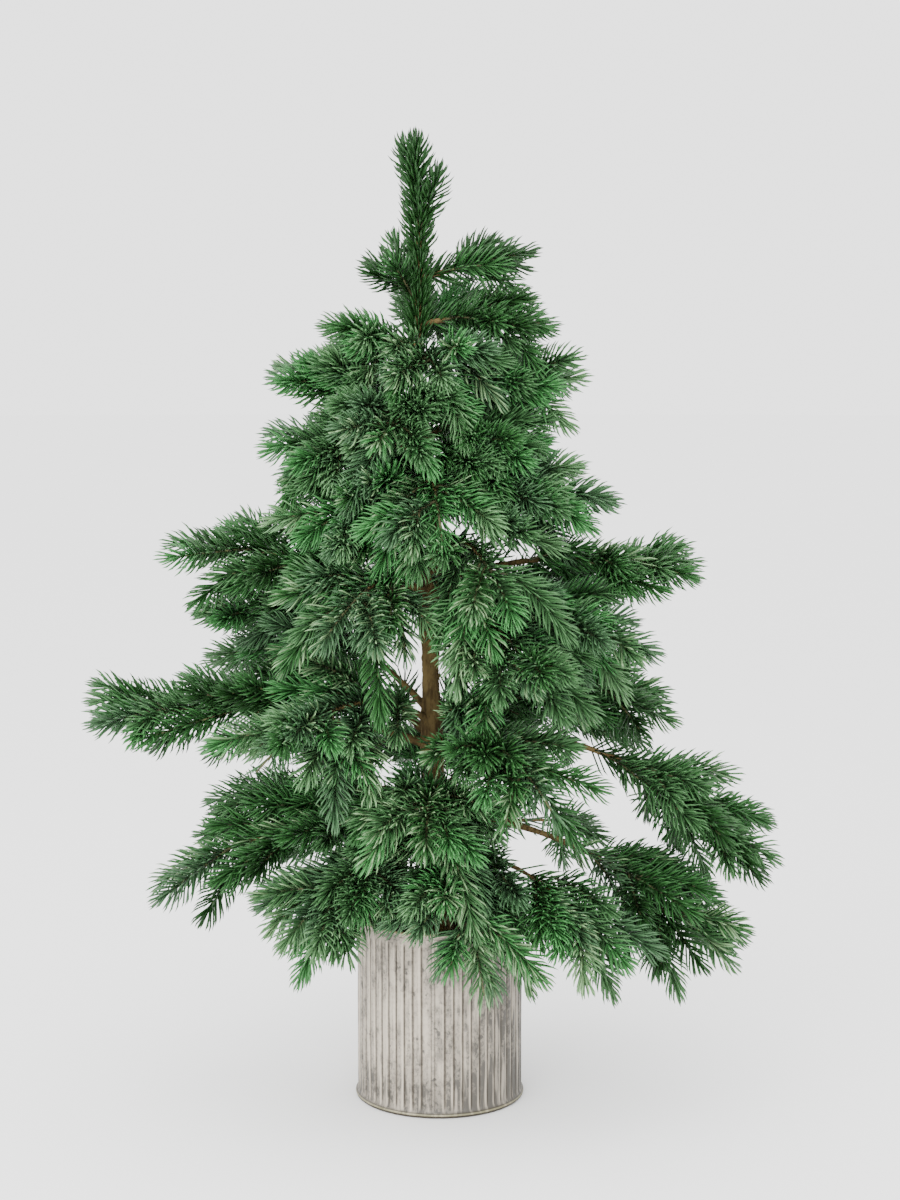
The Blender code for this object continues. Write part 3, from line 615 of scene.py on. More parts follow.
def random_number(tree, low, high, seed):
    node = add(tree, "FunctionNodeRandomValue", data_type="FLOAT")
    floats = [s for s in node.inputs if s.type == "VALUE" and s.enabled]
    floats[0].default_value, floats[1].default_value = low, high
    node.inputs["Seed"].default_value = seed
    return next(s for s in node.outputs if s.type == "VALUE" and s.enabled)


def named_number(tree, field):
    node = add(tree, "GeometryNodeInputNamedAttribute", {"Name": field}, data_type="FLOAT")
    return node.outputs[0]


def turn(tree, rotation, axis, angle):
    by = add(tree, "FunctionNodeAxisAngleToRotation", {"Axis": axis, "Angle": angle})
    node = add(tree, "FunctionNodeRotateRotation",
               {"Rotation": rotation, "Rotate By": by.outputs[0]}, rotation_space="LOCAL")
    return node.outputs[0]


def node_group(name, sizes):
    """A geometry tree with a named input for each size, and the sockets that give them."""
    tree = bpy.data.node_groups.new(name, "GeometryNodeTree")
    tree.interface.new_socket("Geometry", in_out="INPUT", socket_type="NodeSocketGeometry")
    tree.interface.new_socket("Geometry", in_out="OUTPUT", socket_type="NodeSocketGeometry")
    for size, default in sizes.items():
        kind = "NodeSocketInt" if isinstance(default, int) else "NodeSocketFloat"
        socket = tree.interface.new_socket(size, in_out="INPUT", socket_type=kind)
        socket.default_value = default
    tree.interface.new_socket("Material", in_out="INPUT", socket_type="NodeSocketMaterial")
    return tree, add(tree, "NodeGroupInput").outputs


def end_group(tree, geometry, given):
    real = add(tree, "GeometryNodeRealizeInstances", {"Geometry": geometry})
    painted = add(tree, "GeometryNodeSetMaterial",
                  {"Geometry": real.outputs[0], "Material": given["Material"]})
    add(tree, "NodeGroupOutput", {"Geometry": painted.outputs[0]})


def grow_with(obj, tree, mat):
    """Run the tree on the object and keep its result as a plain mesh."""
    modifier = obj.modifiers.new(tree.name, "NODES")
    modifier.node_group = tree
    for item in tree.interface.items_tree:
        if item.in_out == "INPUT" and item.name == "Material":
            modifier[item.identifier] = mat
    shaped = obj.evaluated_get(bpy.context.evaluated_depsgraph_get())
    mesh = bpy.data.meshes.new_from_object(shaped)
    obj.modifiers.clear()
    obj.data = mesh
    mesh.name = obj.name
    if not mesh.polygons:
        raise RuntimeError(f"{obj.name} came out empty")


def needle_tree(settings):
    """Needles in a spiral along each line, closing up towards its tip."""
    tree, given = node_group("needles", {
        "Length": settings.needle_length, "Thickness": settings.thickness,
        "Bow": settings.bow, "Spacing": settings.spacing, "Lean": settings.lean})
    curves = add(tree, "GeometryNodeMeshToCurve", {"Mesh": given["Geometry"]})
    points = add(tree, "GeometryNodeCurveToPoints",
                 {"Curve": curves.outputs[0], "Length": given["Spacing"]}, mode="LENGTH")
    index = add(tree, "GeometryNodeInputIndex").outputs[0]
    spin = math_node(tree, "ADD", times(tree, index, GOLDEN_ANGLE),
                     random_number(tree, -SPIN_STRAY, SPIN_STRAY, 3))
    near_tip = math_node(tree, "DIVIDE", named_number(tree, "left"), TIP_ZONE)
    opened = math_node(tree, "SQRT", math_node(tree, "MINIMUM", near_tip, 1.0))
    lean = math_node(tree, "ADD", times(tree, opened, given["Lean"]),
                     random_number(tree, -LEAN_STRAY, LEAN_STRAY, 5))
    rotation = turn(tree, points.outputs["Rotation"], (0, 0, 1), spin)
    rotation = turn(tree, rotation, (0, 1, 0), lean)
    share = times(tree, plus(tree, opened, 1 - TIP_LENGTH, TIP_LENGTH),
                  random_number(tree, *LENGTH_STRAY, 7))
    reach = times(tree, times(tree, given["Length"], share), named_number(tree, "size"))
    half = times(tree, given["Thickness"], FOOT_SHARE)
    # the needle's own point has to stay out of the bucket
    along = add(tree, "FunctionNodeRotateVector",
                {"Vector": vector(tree, Z=reach), "Rotation": rotation}).outputs[0]
    place = add(tree, "GeometryNodeInputPosition").outputs[0]
    tip = add(tree, "ShaderNodeVectorMath", {0: place, 1: along}, operation="ADD").outputs[0]
    parts = parts_of(tree, tip)
    away = add(tree, "ShaderNodeVectorMath", {0: vector(tree, X=parts["X"], Y=parts["Y"])},
               operation="LENGTH").outputs["Value"]
    clear = math_node(tree, "MAXIMUM",
                      math_node(tree, "GREATER_THAN", away, FOOT_RADIUS + 0.002),
                      math_node(tree, "GREATER_THAN", parts["Z"], BUCKET_HEIGHT + 0.001))
    dealt = math_node(tree, "LESS_THAN", random_number(tree, 0, 1, 21),
                      named_number(tree, "share"))
    needle = add(tree, "GeometryNodeInstanceOnPoints", {
        "Points": points.outputs["Points"],
        "Instance": needle_shape(tree, math_node(tree, "DIVIDE", given["Bow"], half)),
        "Rotation": rotation, "Scale": vector(tree, X=half, Y=half, Z=reach),
        "Selection": times(tree, clear, dealt)})
    end_group(tree, needle.outputs[0], given)
    return tree


def needle_shape(tree, bow):
    """A three-sided needle of unit length, bowed at its middle and pointed at its end."""
    cone = add(tree, "GeometryNodeMeshCone", {
        "Vertices": 3, "Side Segments": 2, "Fill Segments": 1,
        "Radius Top": 0.0, "Radius Bottom": 1.0, "Depth": 1.0}, fill_type="NGON")
    place = add(tree, "GeometryNodeInputPosition").outputs[0]
    height = parts_of(tree, place)["Z"]
    middle = times(tree, math_node(tree, "GREATER_THAN", height, 0.25),
                   math_node(tree, "LESS_THAN", height, 0.75))
    swell = plus(tree, middle, MIDDLE_SWELL, 1.0)
    shaped = add(tree, "ShaderNodeVectorMath", {
        0: place, 1: vector(tree, X=swell, Y=swell, Z=1.0),
        2: vector(tree, X=times(tree, middle, bow), Z=times(tree, middle, MIDDLE_LIFT))},
        operation="MULTIPLY_ADD")
    moved = add(tree, "GeometryNodeSetPosition",
                {"Geometry": cone.outputs["Mesh"], "Position": shaped.outputs[0]})
    return add(tree, "GeometryNodeSetShadeSmooth", {"Geometry": moved.outputs[0]}).outputs[0]


def twig_tree(settings):
    """Thin round wood along each line, as thick as its points say."""
    tree, given = node_group("twigs", {"Sides": settings.twig_sides})
    curves = add(tree, "GeometryNodeMeshToCurve", {"Mesh": given["Geometry"]})
    circle = add(tree, "GeometryNodeCurvePrimitiveCircle",
                 {"Resolution": given["Sides"], "Radius": 1.0})
    tube = add(tree, "GeometryNodeCurveToMesh", {
        "Curve": curves.outputs[0], "Profile Curve": circle.outputs[0], "Fill Caps": True,
        "Scale": named_number(tree, "thickness")})
    end_group(tree, tube.outputs[0], given)
    return tree


def crumb_tree():
    """Crumbs of soil scattered over a surface."""
    tree, given = node_group("soil_crumbs", {"Size": 0.0022, "Density": 32000.0})
    spots = add(tree, "GeometryNodeDistributePointsOnFaces",
                {"Mesh": given["Geometry"], "Density": given["Density"], "Seed": 11})
    crumb = add(tree, "GeometryNodeMeshIcoSphere", {"Radius": 1.0, "Subdivisions": 1})
    tilt = vector(tree, **{axis: random_number(tree, 0, 6.3, seed)
                           for axis, seed in (("X", 1), ("Y", 2), ("Z", 3))})
    scale = vector(tree, **{
        axis: times(tree, given["Size"], random_number(tree, low, high, seed))
        for axis, low, high, seed in (("X", 0.5, 1.6, 4), ("Y", 0.5, 1.2, 5), ("Z", 0.3, 0.9, 6))})
    crumbs = add(tree, "GeometryNodeInstanceOnPoints", {
        "Points": spots.outputs["Points"], "Instance": crumb.outputs["Mesh"],
        "Rotation": add(tree, "FunctionNodeEulerToRotation", {0: tilt}).outputs[0],
        "Scale": scale})
    end_group(tree, crumbs.outputs[0], given)
    return tree


def hem_shadow_tree():
    """Short dark marks under the rim, a painted shadow of the hem's lower edge."""
    tree, given = node_group("hem_marks", {"Size": 0.0016, "Count": 74})
    circle = add(tree, "GeometryNodeCurvePrimitiveCircle",
                 {"Resolution": 168, "Radius": BUCKET_RADIUS + 0.0001})
    points = add(tree, "GeometryNodeCurveToPoints",
                 {"Curve": circle.outputs[0], "Count": given["Count"]}, mode="COUNT")
    lift = random_number(tree, HEM_SHADOW_LOW, HEM_SHADOW_HIGH, 2)
    lifted = add(tree, "GeometryNodeSetPosition",
                 {"Geometry": points.outputs["Points"], "Offset": vector(tree, Z=lift)})
    shadow_mark = add(tree, "GeometryNodeMeshIcoSphere", {"Radius": 1.0, "Subdivisions": 2})
    width = times(tree, given["Size"], 0.22)
    height = times(tree, given["Size"], random_number(tree, 0.4, 1.5, 8))
    marks = add(tree, "GeometryNodeInstanceOnPoints", {
        "Points": lifted.outputs[0], "Instance": shadow_mark.outputs["Mesh"],
        "Rotation": points.outputs["Rotation"], "Scale": vector(tree, X=width, Y=width, Z=height),
        "Selection": math_node(tree, "LESS_THAN", random_number(tree, 0, 1, 9), HEM_SHADOWS_LEFT)})
    end_group(tree, marks.outputs[0], given)
    return tree


# ---- materials ------------------------------------------------------------
def new_material(name, **finish):
    mat = bpy.data.materials.new(name)
    mat.use_nodes = True
    shader = mat.node_tree.nodes["Principled BSDF"]
    for key, value in finish.items():
        shader.inputs[key.replace("_", " ").title().replace("Ior", "IOR")].default_value = value
    return mat, mat.node_tree, shader


def opaque(rgb, brightness=1.0):
    """The colour, made brighter or darker, as a socket wants it."""
    return (*(min(1.0, c * brightness) for c in rgb), 1.0)


def object_place(tree):
    return add(tree, "ShaderNodeTexCoord").outputs["Object"]


def object_noise(tree, scale, stretch=(1, 1, 1), detail=4.0, rough=0.55):
    mapped = add(tree, "ShaderNodeMapping", {"Vector": object_place(tree), "Scale": stretch})
    return add(tree, "ShaderNodeTexNoise", {
        "Vector": mapped.outputs[0], "Scale": scale, "Detail": detail,
        "Roughness": rough}).outputs["Fac"]


def stepped(tree, value, low, high):
    """0 below low, 1 above high, smooth between."""
    return add(tree, "ShaderNodeMapRange", {
        "Value": value, "From Min": low, "From Max": high}, interpolation_type="SMOOTHSTEP").outputs[0]


def point_number(tree, name):
    return add(tree, "ShaderNodeAttribute", attribute_name=name).outputs["Fac"]


def blended(tree, share, first, second):
    node = add(tree, "ShaderNodeMix", data_type="RGBA")
    sockets = [s for s in node.inputs if s.enabled]
    for socket, value in zip(sockets, (share, first, second)):
        if isinstance(value, bpy.types.NodeSocket):
            tree.links.new(value, socket)
        else:
            socket.default_value = value
    return next(s for s in node.outputs if s.enabled)


def finish_with(tree, shader, color, height=None, strength=0.0, distance=0.0):
    """Give the shader its colour, and bumps as strong and as high as given."""
    tree.links.new(color, shader.inputs["Base Color"])
    if height:
        bump = add(tree, "ShaderNodeBump", {
            "Height": height, "Strength": strength, "Distance": distance})
        tree.links.new(bump.outputs[0], shader.inputs["Normal"])


def needle_material(name, rgb):
    mat, _, _ = new_material(name, base_color=opaque(rgb), roughness=0.42,
                             specular_ior_level=0.22)
    mat.diffuse_color = opaque(rgb)
    return mat


def bark_material(settings):
    mat, tree, shader = new_material("papery_bark", roughness=0.86, specular_ior_level=0.2)
    ridges = object_noise(tree, 190, (1, 1, 0.28), detail=6, rough=0.62)
    patches = object_noise(tree, 34, (1, 1, 0.5), detail=3)
    flecks = object_noise(tree, 620, (1, 1, 0.6), detail=2)
    base = blended(tree, stepped(tree, ridges, 0.34, 0.62), opaque(settings.furrow),
                   opaque(settings.bark))
    base = blended(tree, stepped(tree, patches, 0.50, 0.72), base, opaque(settings.bark, 1.5))
    base = blended(tree, stepped(tree, flecks, 0.60, 0.75), base, opaque(settings.bark, 0.4))
    finish_with(tree, shader, base, math_node(tree, "ADD", ridges, flecks), 0.6, 0.0006)
    return mat


def twig_material(settings):
    mat, tree, shader = new_material("twig_wrap", roughness=0.7)
    grain = object_noise(tree, 260, detail=3)
    base = blended(tree, stepped(tree, grain, 0.35, 0.70), opaque(settings.twig, 0.5),
                   opaque(settings.twig, 1.5))
    finish_with(tree, shader, base, grain, 0.4, 0.0003)
    return mat


def zinc_material(settings):
    """Chalky wash over grey zinc, worn in blotches and darker to the right as painted shade, with grime
    and painted shade in the grooves and a painted highlight beside each groove.
    """
    mat, tree, shader = new_material("washed_zinc", metallic=0.12)
    blotches = object_noise(tree, 62, (1, 1, 0.75), detail=6, rough=0.66)
    spots = object_noise(tree, 105, (1, 1, 0.9), detail=2, rough=0.45)
    specks = object_noise(tree, 330, (1, 1, 0.7), detail=4, rough=0.7)
    streaks = object_noise(tree, 150, (1, 1, 0.10), detail=3)
    place = parts_of(tree, object_place(tree))
    worn = times(tree, stepped(tree, blotches, 0.46, 0.62), 0.50)
    worn = plus(tree, stepped(tree, specks, 0.47, 0.60), 0.36, worn)
    worn = plus(tree, stepped(tree, spots, 0.61, 0.67), 0.75, worn)
    # painted shade: darker towards the right, away from the key light; also darker in blotches near the
    # ground. From here worn holds both wear and painted shade
    worn = plus(tree, stepped(tree, place["X"], -0.025, 0.080), 0.66, worn)
    low = times(tree, stepped(tree, place["Z"], 0.070, 0.004), blotches)
    worn = math_node(tree, "MINIMUM", plus(tree, low, 1.3, worn), 1.0)
    base = blended(tree, worn, opaque(settings.wash), opaque(settings.zinc))
    base = blended(tree, times(tree, stepped(tree, streaks, 0.48, 0.66), 0.55), base,
                   opaque(settings.wash, 1.45))
    # a paler wash along one side of each groove: a painted highlight
    rubbed = times(tree, point_number(tree, "rubbed"), stepped(tree, streaks, 0.36, 0.52))
    base = blended(tree, rubbed, base, opaque(settings.wash, 1.8))
    # grime and painted shade in the grooves and the seam, and painted shade under the foot
    dirt_and_shade = times(tree, point_number(tree, "groove"), plus(tree, specks, 0.5, 0.72))
    base = blended(tree, dirt_and_shade, base, opaque(settings.groove))
    # edge colour: wear on the rim, a painted highlight on the foot's bead
    base = blended(tree, point_number(tree, "edge"), base, opaque(settings.edge))
    tree.links.new(plus(tree, specks, 0.3, 0.42), shader.inputs["Roughness"])
    finish_with(tree, shader, base, math_node(tree, "ADD", specks, blotches), 0.35, 0.0005)
    return mat


# the hem marks' colour, for a painted shadow
def hem_shadow_material(settings):
    mat, tree, shader = new_material("hem_marks", roughness=0.8)
    grain = object_noise(tree, 400, detail=2)
    finish_with(tree, shader, blended(tree, grain, opaque(settings.groove, 0.4),
                                      opaque(settings.groove, 1.3)))
    return mat


def soil_material(settings):
    mat, tree, shader = new_material("soil", roughness=0.95, specular_ior_level=0.15)
    grain = object_noise(tree, 220, detail=5, rough=0.7)
    base = blended(tree, stepped(tree, grain, 0.35, 0.68), opaque(settings.soil, 0.35),
                   opaque(settings.soil, 1.9))
    finish_with(tree, shader, base, grain, 0.8, 0.0012)
    return mat


# ---- meshes ---------------------------------------------------------------
def new_piece(name, bm, mat, smooth_shade=True):
    mesh = bpy.data.meshes.new(name)
    bm.to_mesh(mesh)
    bm.free()
    if smooth_shade:
        mesh.shade_smooth()
    obj = bpy.data.objects.new(name, mesh)
    bpy.context.scene.collection.objects.link(obj)
    obj.data.materials.append(mat)
    return obj


def keep(obj, nodes=()):
    """Fix a finished piece to the tree and hide the parts that it stands for."""
    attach(obj, "root")
    if nodes:
        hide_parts(*nodes)


def join_rings(bm, rings):
    """Skin between rings of points that run counter-clockwise, from the lowest ring up."""
    for low, high in zip(rings, rings[1:]):
        for k, point in enumerate(low):
            j = (k + 1) % len(low)
            bm.faces.new((point, low[j], high[j], high[k]))


def close_ring(bm, ring, middle, facing_up):
    centre = bm.verts.new(middle)
    for k, point in enumerate(ring):
        corners = (point, ring[(k + 1) % len(ring)], centre)
        bm.faces.new(corners if facing_up else corners[::-1])


def bark_relief(point, depth):
    """Upright furrows, with knobs here and there."""
    furrow = noise.fractal(point * FURROW_SCALE, 0.85, 2.1, 4)
    knob = max(0.0, noise.noise(point * KNOB_SCALE) - KNOB_RARITY)
    return depth * (FURROWS * furrow + KNOBS * knob)


def bark_tube(bm, points, radii, sides, depth, hint):
    """A rough closed tube through the points, smoother where it is thin."""
    rings = []
    for i, (point, radius) in enumerate(zip(points, radii)):
        before, after = points[max(0, i - 1)], points[min(len(points) - 1, i + 1)]
        heading = (after - before).normalized()
        across = (hint - heading * hint.dot(heading)).normalized()
        over = heading.cross(across)
        grain = depth * min(1.0, radius / FULL_BARK_RADIUS)
        ring = []
        for k in range(sides):
            a = 2 * math.pi * k / sides
            out = across * math.cos(a) + over * math.sin(a)
            skin = point + out * radius
            ring.append(bm.verts.new(skin + out * bark_relief(skin, grain)))
        rings.append(ring)
    join_rings(bm, rings)
    close_ring(bm, rings[0], points[0], facing_up=False)
    close_ring(bm, rings[-1], points[-1], facing_up=True)


def smooth_trunk_point(z, window=0.018):
    """The trunk's centre line with its bends eased."""
    point = (trunk_line(z - window) + trunk_line(z) * 2 + trunk_line(z + window)) / 4
    point.z = z
    return point


def build_trunk(settings):
    """The trunk, swollen in a collar where each bough leaves it."""
    mat = bark_material(settings)
    bm = bmesh.new()
    heights = [mix(FILL_TOP - TRUNK_SUNK, TRUNK_TIP, i / TRUNK_RINGS)
               for i in range(TRUNK_RINGS + 1)]
    radii = []
    for z in heights:
        swell = sum(bell(z - bough.height, COLLAR_HEIGHT) for bough in BOUGHS)
        radii.append(trunk_radius(max(z, FILL_TOP)) * (1 + COLLAR_SWELL * min(2.4, swell)))
    bark_tube(bm, [smooth_trunk_point(z) for z in heights], radii, TRUNK_SIDES,
              settings.relief, SIDEWAYS)
    keep(new_piece("trunk_bark", bm, mat), ["trunk"])
    return mat


def build_limbs(settings, mat):
    """The bare woody part of every bough, tapering on into its needles."""
    bm = bmesh.new()
    for bough in (LEADER,) + BOUGHS:
        whole = bough_length(bough)
        root = LIMB_ROOT + LIMB_ROOT_GROWTH * bough.reach
        end = min(WOOD_END, bough.bare + HIDDEN_WOOD)
        steps = max(6, round(whole * end / LIMB_STEP))
        shares = [end * i / steps for i in range(steps + 1)]
        radii = [mix(root, LIMB_TIP, (t / end) ** 0.8)
                 + LIMB_FLARE * math.exp(-t * whole / LIMB_FLARE_LENGTH) for t in shares]
        if bough is LEADER:
            radii = [mix(TRUNK_TIP_RADIUS, LIMB_TIP, t / end) for t in shares]
        bark_tube(bm, [bough_point(bough, t) for t in shares], radii, LIMB_SIDES,
                  settings.relief * LIMB_RELIEF, SIDEWAYS if bough is LEADER else UP)
    limbs = [n for n in NODES if n.startswith(LIMB_PREFIX)]
    keep(new_piece("limb_bark", bm, mat), limbs)


def build_twigs(settings):
    """Thin stems under the needles, to the tip of every shoot."""
    lines = []
    for bough in (LEADER,) + BOUGHS:
        whole = bough_length(bough)
        points, marks = line_points(lambda s: bough_point(bough, s / whole),
                                    whole * bough.bare * 0.9, whole)
        lines.append((points, [mix(STEM_RADIUS, STEM_TIP, s / whole) for s in marks]))
        for shoot in grow(bough):
            points, marks = line_points(lambda s: shoot_point(shoot, s), 0.0, shoot.length)
            lines.append((points, [settings.twig_radius * mix(1.0, TWIG_TAPER, s / shoot.length)
                                   for s in marks]))
    obj = line_mesh("twigs", lines, ["thickness"])
    grow_with(obj, twig_tree(settings), twig_material(settings))
    obj.data.shade_smooth()
    keep(obj)


# ---- needles --------------------------------------------------------------
def deal_tones(bough, paths):
    """Which green each shoot and its tip take, darker on the crown and the outline as painted shade,
    and its share of pale needles as a painted highlight, by a fixed draw.
    """
    rng = Random(bough.seed * 113 + round(bough.height * 1000))
    crown, far = bough.height > CROWN_HEIGHT, bough.reach > FAR_REACH
    greens = CROWN_GREENS if crown else FAR_GREENS if far else NEAR_GREENS
    facing = FACING[0] < bough.azimuth < FACING[1]
    highlighted = FACING_HIGHLIGHTED if facing and not far else HIGHLIGHTED
    tones = []
    for _ in paths:
        draw = rng.random()
        body = "dark" if bough is LEADER else next(g for g, below in greens if draw < below)
        tip = body
        if rng.random() < (CROWN_CHANGED_TIPS if crown else CHANGED_TIPS):
            tip = NEXT_GREEN[body]
        frost = rng.uniform(*HIGHLIGHT_SHARE) if rng.random() < highlighted and body != "dark" else 0.0
        tones.append((body, tip, frost))
    return tones


def needle_lines():
    """Lines for each green, each with its bough and what its points have to keep."""
    groups = {}
    for bough in (LEADER,) + BOUGHS:
        paths = [stem_path(bough)] + [shoot_path(s) for s in grow(bough)]
        if bough is LEADER:     # fuller round the stem and on the top of the trunk
            paths += [stem_path(bough)] + [trunk_top_path()] * 3
        for (at, start, end, full), (body, tip, frost) in zip(paths, deal_tones(bough, paths)):
            if bough is not LEADER and (bough.height > CROWN_HEIGHT or bough.reach > FAR_REACH):
                full *= SPARE_FULLNESS
            plain = full * (1 - frost)
            cuts = [(start, end, body, plain)]
            if tip != body and end - start > SHORTEST_SHOOT:
                cuts = [(start, end - TIP_CUT, body, plain), (end - TIP_CUT, end, tip, plain)]
            # the pale needles are a painted highlight
            if frost:
                cuts.append((start, end, "frost", full * frost))
            for first, last, tone, share in cuts:
                points, marks = line_points(at, first, last)
                left = [end - s for s in marks]
                shares = [share * smooth(beyond_gaps(p) / GAP_EDGE) for p in points]
                sizes = [LEADER_NEEDLES if bough is LEADER else 1.0] * len(points)
                line = NeedleLine(bough.name, share, points, left, shares, sizes)
                groups.setdefault(tone, []).append(line)
    return groups


def in_batches(lines, spacing):
    """The lines in as many groups as keep every piece under its limit of triangles."""
    batches, room = [[]], TRIANGLES_PER_PIECE
    for line in lines:
        needles = (line.left[0] - line.left[-1]) / spacing + 1
        triangles = TRIANGLES_PER_NEEDLE * line.share * needles
        if triangles > room:
            batches.append([])
            room = TRIANGLES_PER_PIECE
        batches[-1].append(line)
        room -= triangles
    return batches


def build_needles(settings):
    tree = needle_tree(settings)
    for tone, lines in sorted(needle_lines().items()):
        mat = needle_material("needles_" + tone, getattr(settings, tone))
        for number, batch in enumerate(in_batches(lines, settings.spacing), 1):
            obj = line_mesh(f"needles_{tone}_{number}",
                            [(line.points, line.left, line.shares, line.sizes) for line in batch],
                            ["left", "share", "size"])
            grow_with(obj, tree, mat)
            masses = sorted({MASS_PREFIX + line.bough for line in batch} & set(NODES))
            keep(obj, masses)


# ---- bucket ---------------------------------------------------------------
# worn is the rim's wear; on the foot it is a painted highlight, and painted shade where below 0
Row = namedtuple("Row", "radius z grooved worn")
Column = namedtuple("Column", "azimuth groove rubbed seam crown top")


def groove_azimuths():
    pitch = (LAST_GROOVE - FIRST_GROOVE) / (GROOVES - 1)
    return [(FIRST_GROOVE + k * pitch) % 360 for k in range(GROOVES)]


def wrapped(angle):
    return (angle + 180) % 360 - 180


def degrees_away(azimuth, places):
    return min(abs(wrapped(azimuth - place)) for place in places)


def column_azimuths(grooves):
    """Close together at the grooves and the seam, and never far apart."""
    azimuths = {round((a + offset) % 360, 4) for a in grooves for offset in GROOVE_OFFSETS}
    azimuths |= {round(a + offset, 4) for a in SEAM_LINES for offset in SEAM_OFFSETS}
    ordered = sorted(azimuths)
    filled = []
    for a, b in zip(ordered, ordered[1:] + [ordered[0] + 360]):
        parts = max(1, round((b - a) / WIDEST_COLUMN))
        filled += [(a + (b - a) * k / parts) % 360 for k in range(parts)]
    return filled


def bucket_columns():
    """Upright lines of the shell: how deep in a groove or the seam each is, how much painted highlight
    it takes along one side of a groove, how high on the dome of its band, and where its groove ends."""
    grooves = groove_azimuths()
    columns = []
    for azimuth in column_azimuths(grooves):
        to_groove, to_seam = degrees_away(azimuth, grooves), degrees_away(azimuth, SEAM_LINES)
        to_highlight = min((wrapped(g - azimuth) - HIGHLIGHT_PLACE for g in grooves), key=abs)
        waver = GROOVE_WAVER * noise.noise(Vector((azimuth * 0.31, 4.0, 0)))
        columns.append(Column(
            azimuth, bell(to_groove, GROOVE_WIDTH), GROOVE_HIGHLIGHT * bell(to_highlight, HIGHLIGHT_WIDTH),
            bell(to_seam, SEAM_WIDTH), smooth(min(to_groove, to_seam) / BAND_WIDTH),
            GROOVE_TOP + waver))
    return columns


def bucket_rows():
    """Half section from the underside, up the outside, over the rim and down the inside."""
    rows = [Row(FOOT_RADIUS + out, *rest) for out, *rest in FOOT_SECTION]
    rows += [Row(BUCKET_RADIUS + 0.0002, 0.0072, 0.35, 0), Row(BUCKET_RADIUS, 0.0095, 0.75, 0)]
    heights = [mix(*EVEN_ROWS, i / ROW_STEPS) for i in range(ROW_STEPS + 1)]
    rows += [Row(BUCKET_RADIUS, z, 1, 0) for z in (*heights, *HIGH_ROWS)]
    rows += [Row(BUCKET_RADIUS, 0.1850, 0, 0), Row(BUCKET_RADIUS - 0.0001, 0.1868, 0, 0)]
    for degrees in range(-75, 196, 30):
        a = math.radians(degrees)
        worn = smooth((degrees + 30) / 60) * (1 - smooth((degrees - 100) / 60))
        rows.append(Row(BUCKET_RADIUS - RIM_ROLL / 2 + RIM_ROLL * math.cos(a),
                        BUCKET_HEIGHT - RIM_ROLL + RIM_ROLL * math.sin(a), 0, worn))
    return rows + [Row(BUCKET_RADIUS - BUCKET_WALL, z, 0, 0) for z in INNER_ROWS]


def shell_point(row, column, groove_depth):
    """Place of a point of the shell, and how much grime and painted shade, edge colour and painted
    highlight it shows.
    """
    shown = row.grooved * (1 - smooth((row.z - column.top + FADE_BELOW) / GROOVE_FADE))
    radius = row.radius - groove_depth * column.groove * shown
    radius += BAND_CROWN * (column.crown - 0.5) * shown
    radius -= SEAM_DEPTH * column.seam * row.grooved
    if SEAM_LINES[0] < column.azimuth < SEAM_LINES[1]:
        radius += SEAM_LAP * row.grooved
    a = math.radians(column.azimuth)
    out = Vector((math.cos(a), math.sin(a), 0.0))
    if row.grooved:
        radius += DENT_DEPTH * noise.noise(out * 2.6 + UP * row.z * 24)
    # grime and painted shade in the grooves and the seam, and painted shade on the foot
    dirt_and_shade = max(column.groove * shown, SEAM_DIRT_AND_SHADE * column.seam * row.grooved, -row.worn)
    return out * radius + UP * row.z, (dirt_and_shade, max(0.0, row.worn), column.rubbed * shown)


def build_bucket(settings):
    """The whole shell is one closed mesh, with its grime, wear, painted shade and painted highlights
    kept on its points.
    """
    bm = bmesh.new()
    layers = [bm.verts.layers.float.new(name) for name in ("groove", "edge", "rubbed")]
    columns = bucket_columns()
    rings = []
    for row in bucket_rows():
        ring = []
        for column in columns:
            place, wear = shell_point(row, column, settings.groove_depth)
            vert = bm.verts.new(place)
            for layer, share in zip(layers, wear):
                vert[layer] = share
            ring.append(vert)
        rings.append(ring)
    join_rings(bm, rings)
    close_ring(bm, rings[0], (0, 0, 0), facing_up=False)
    close_ring(bm, rings[-1], (0, 0, BUCKET_WALL), facing_up=True)
    keep(new_piece("bucket_shell", bm, zinc_material(settings)), ["bucket"])
    # dark slivers under the hem: a painted shadow
    marks = line_mesh("hem_marks", [])
    grow_with(marks, hem_shadow_tree(), hem_shadow_material(settings))
    marks.data.shade_smooth()
    keep(marks)


def soil_point(x, y):
    rough = noise.fractal(Vector((x * 70, y * 70, 0)), 0.8, 2.2, 4)
    return x, y, FILL_TOP - SOIL_SINK + SOIL_ROUGHNESS * rough


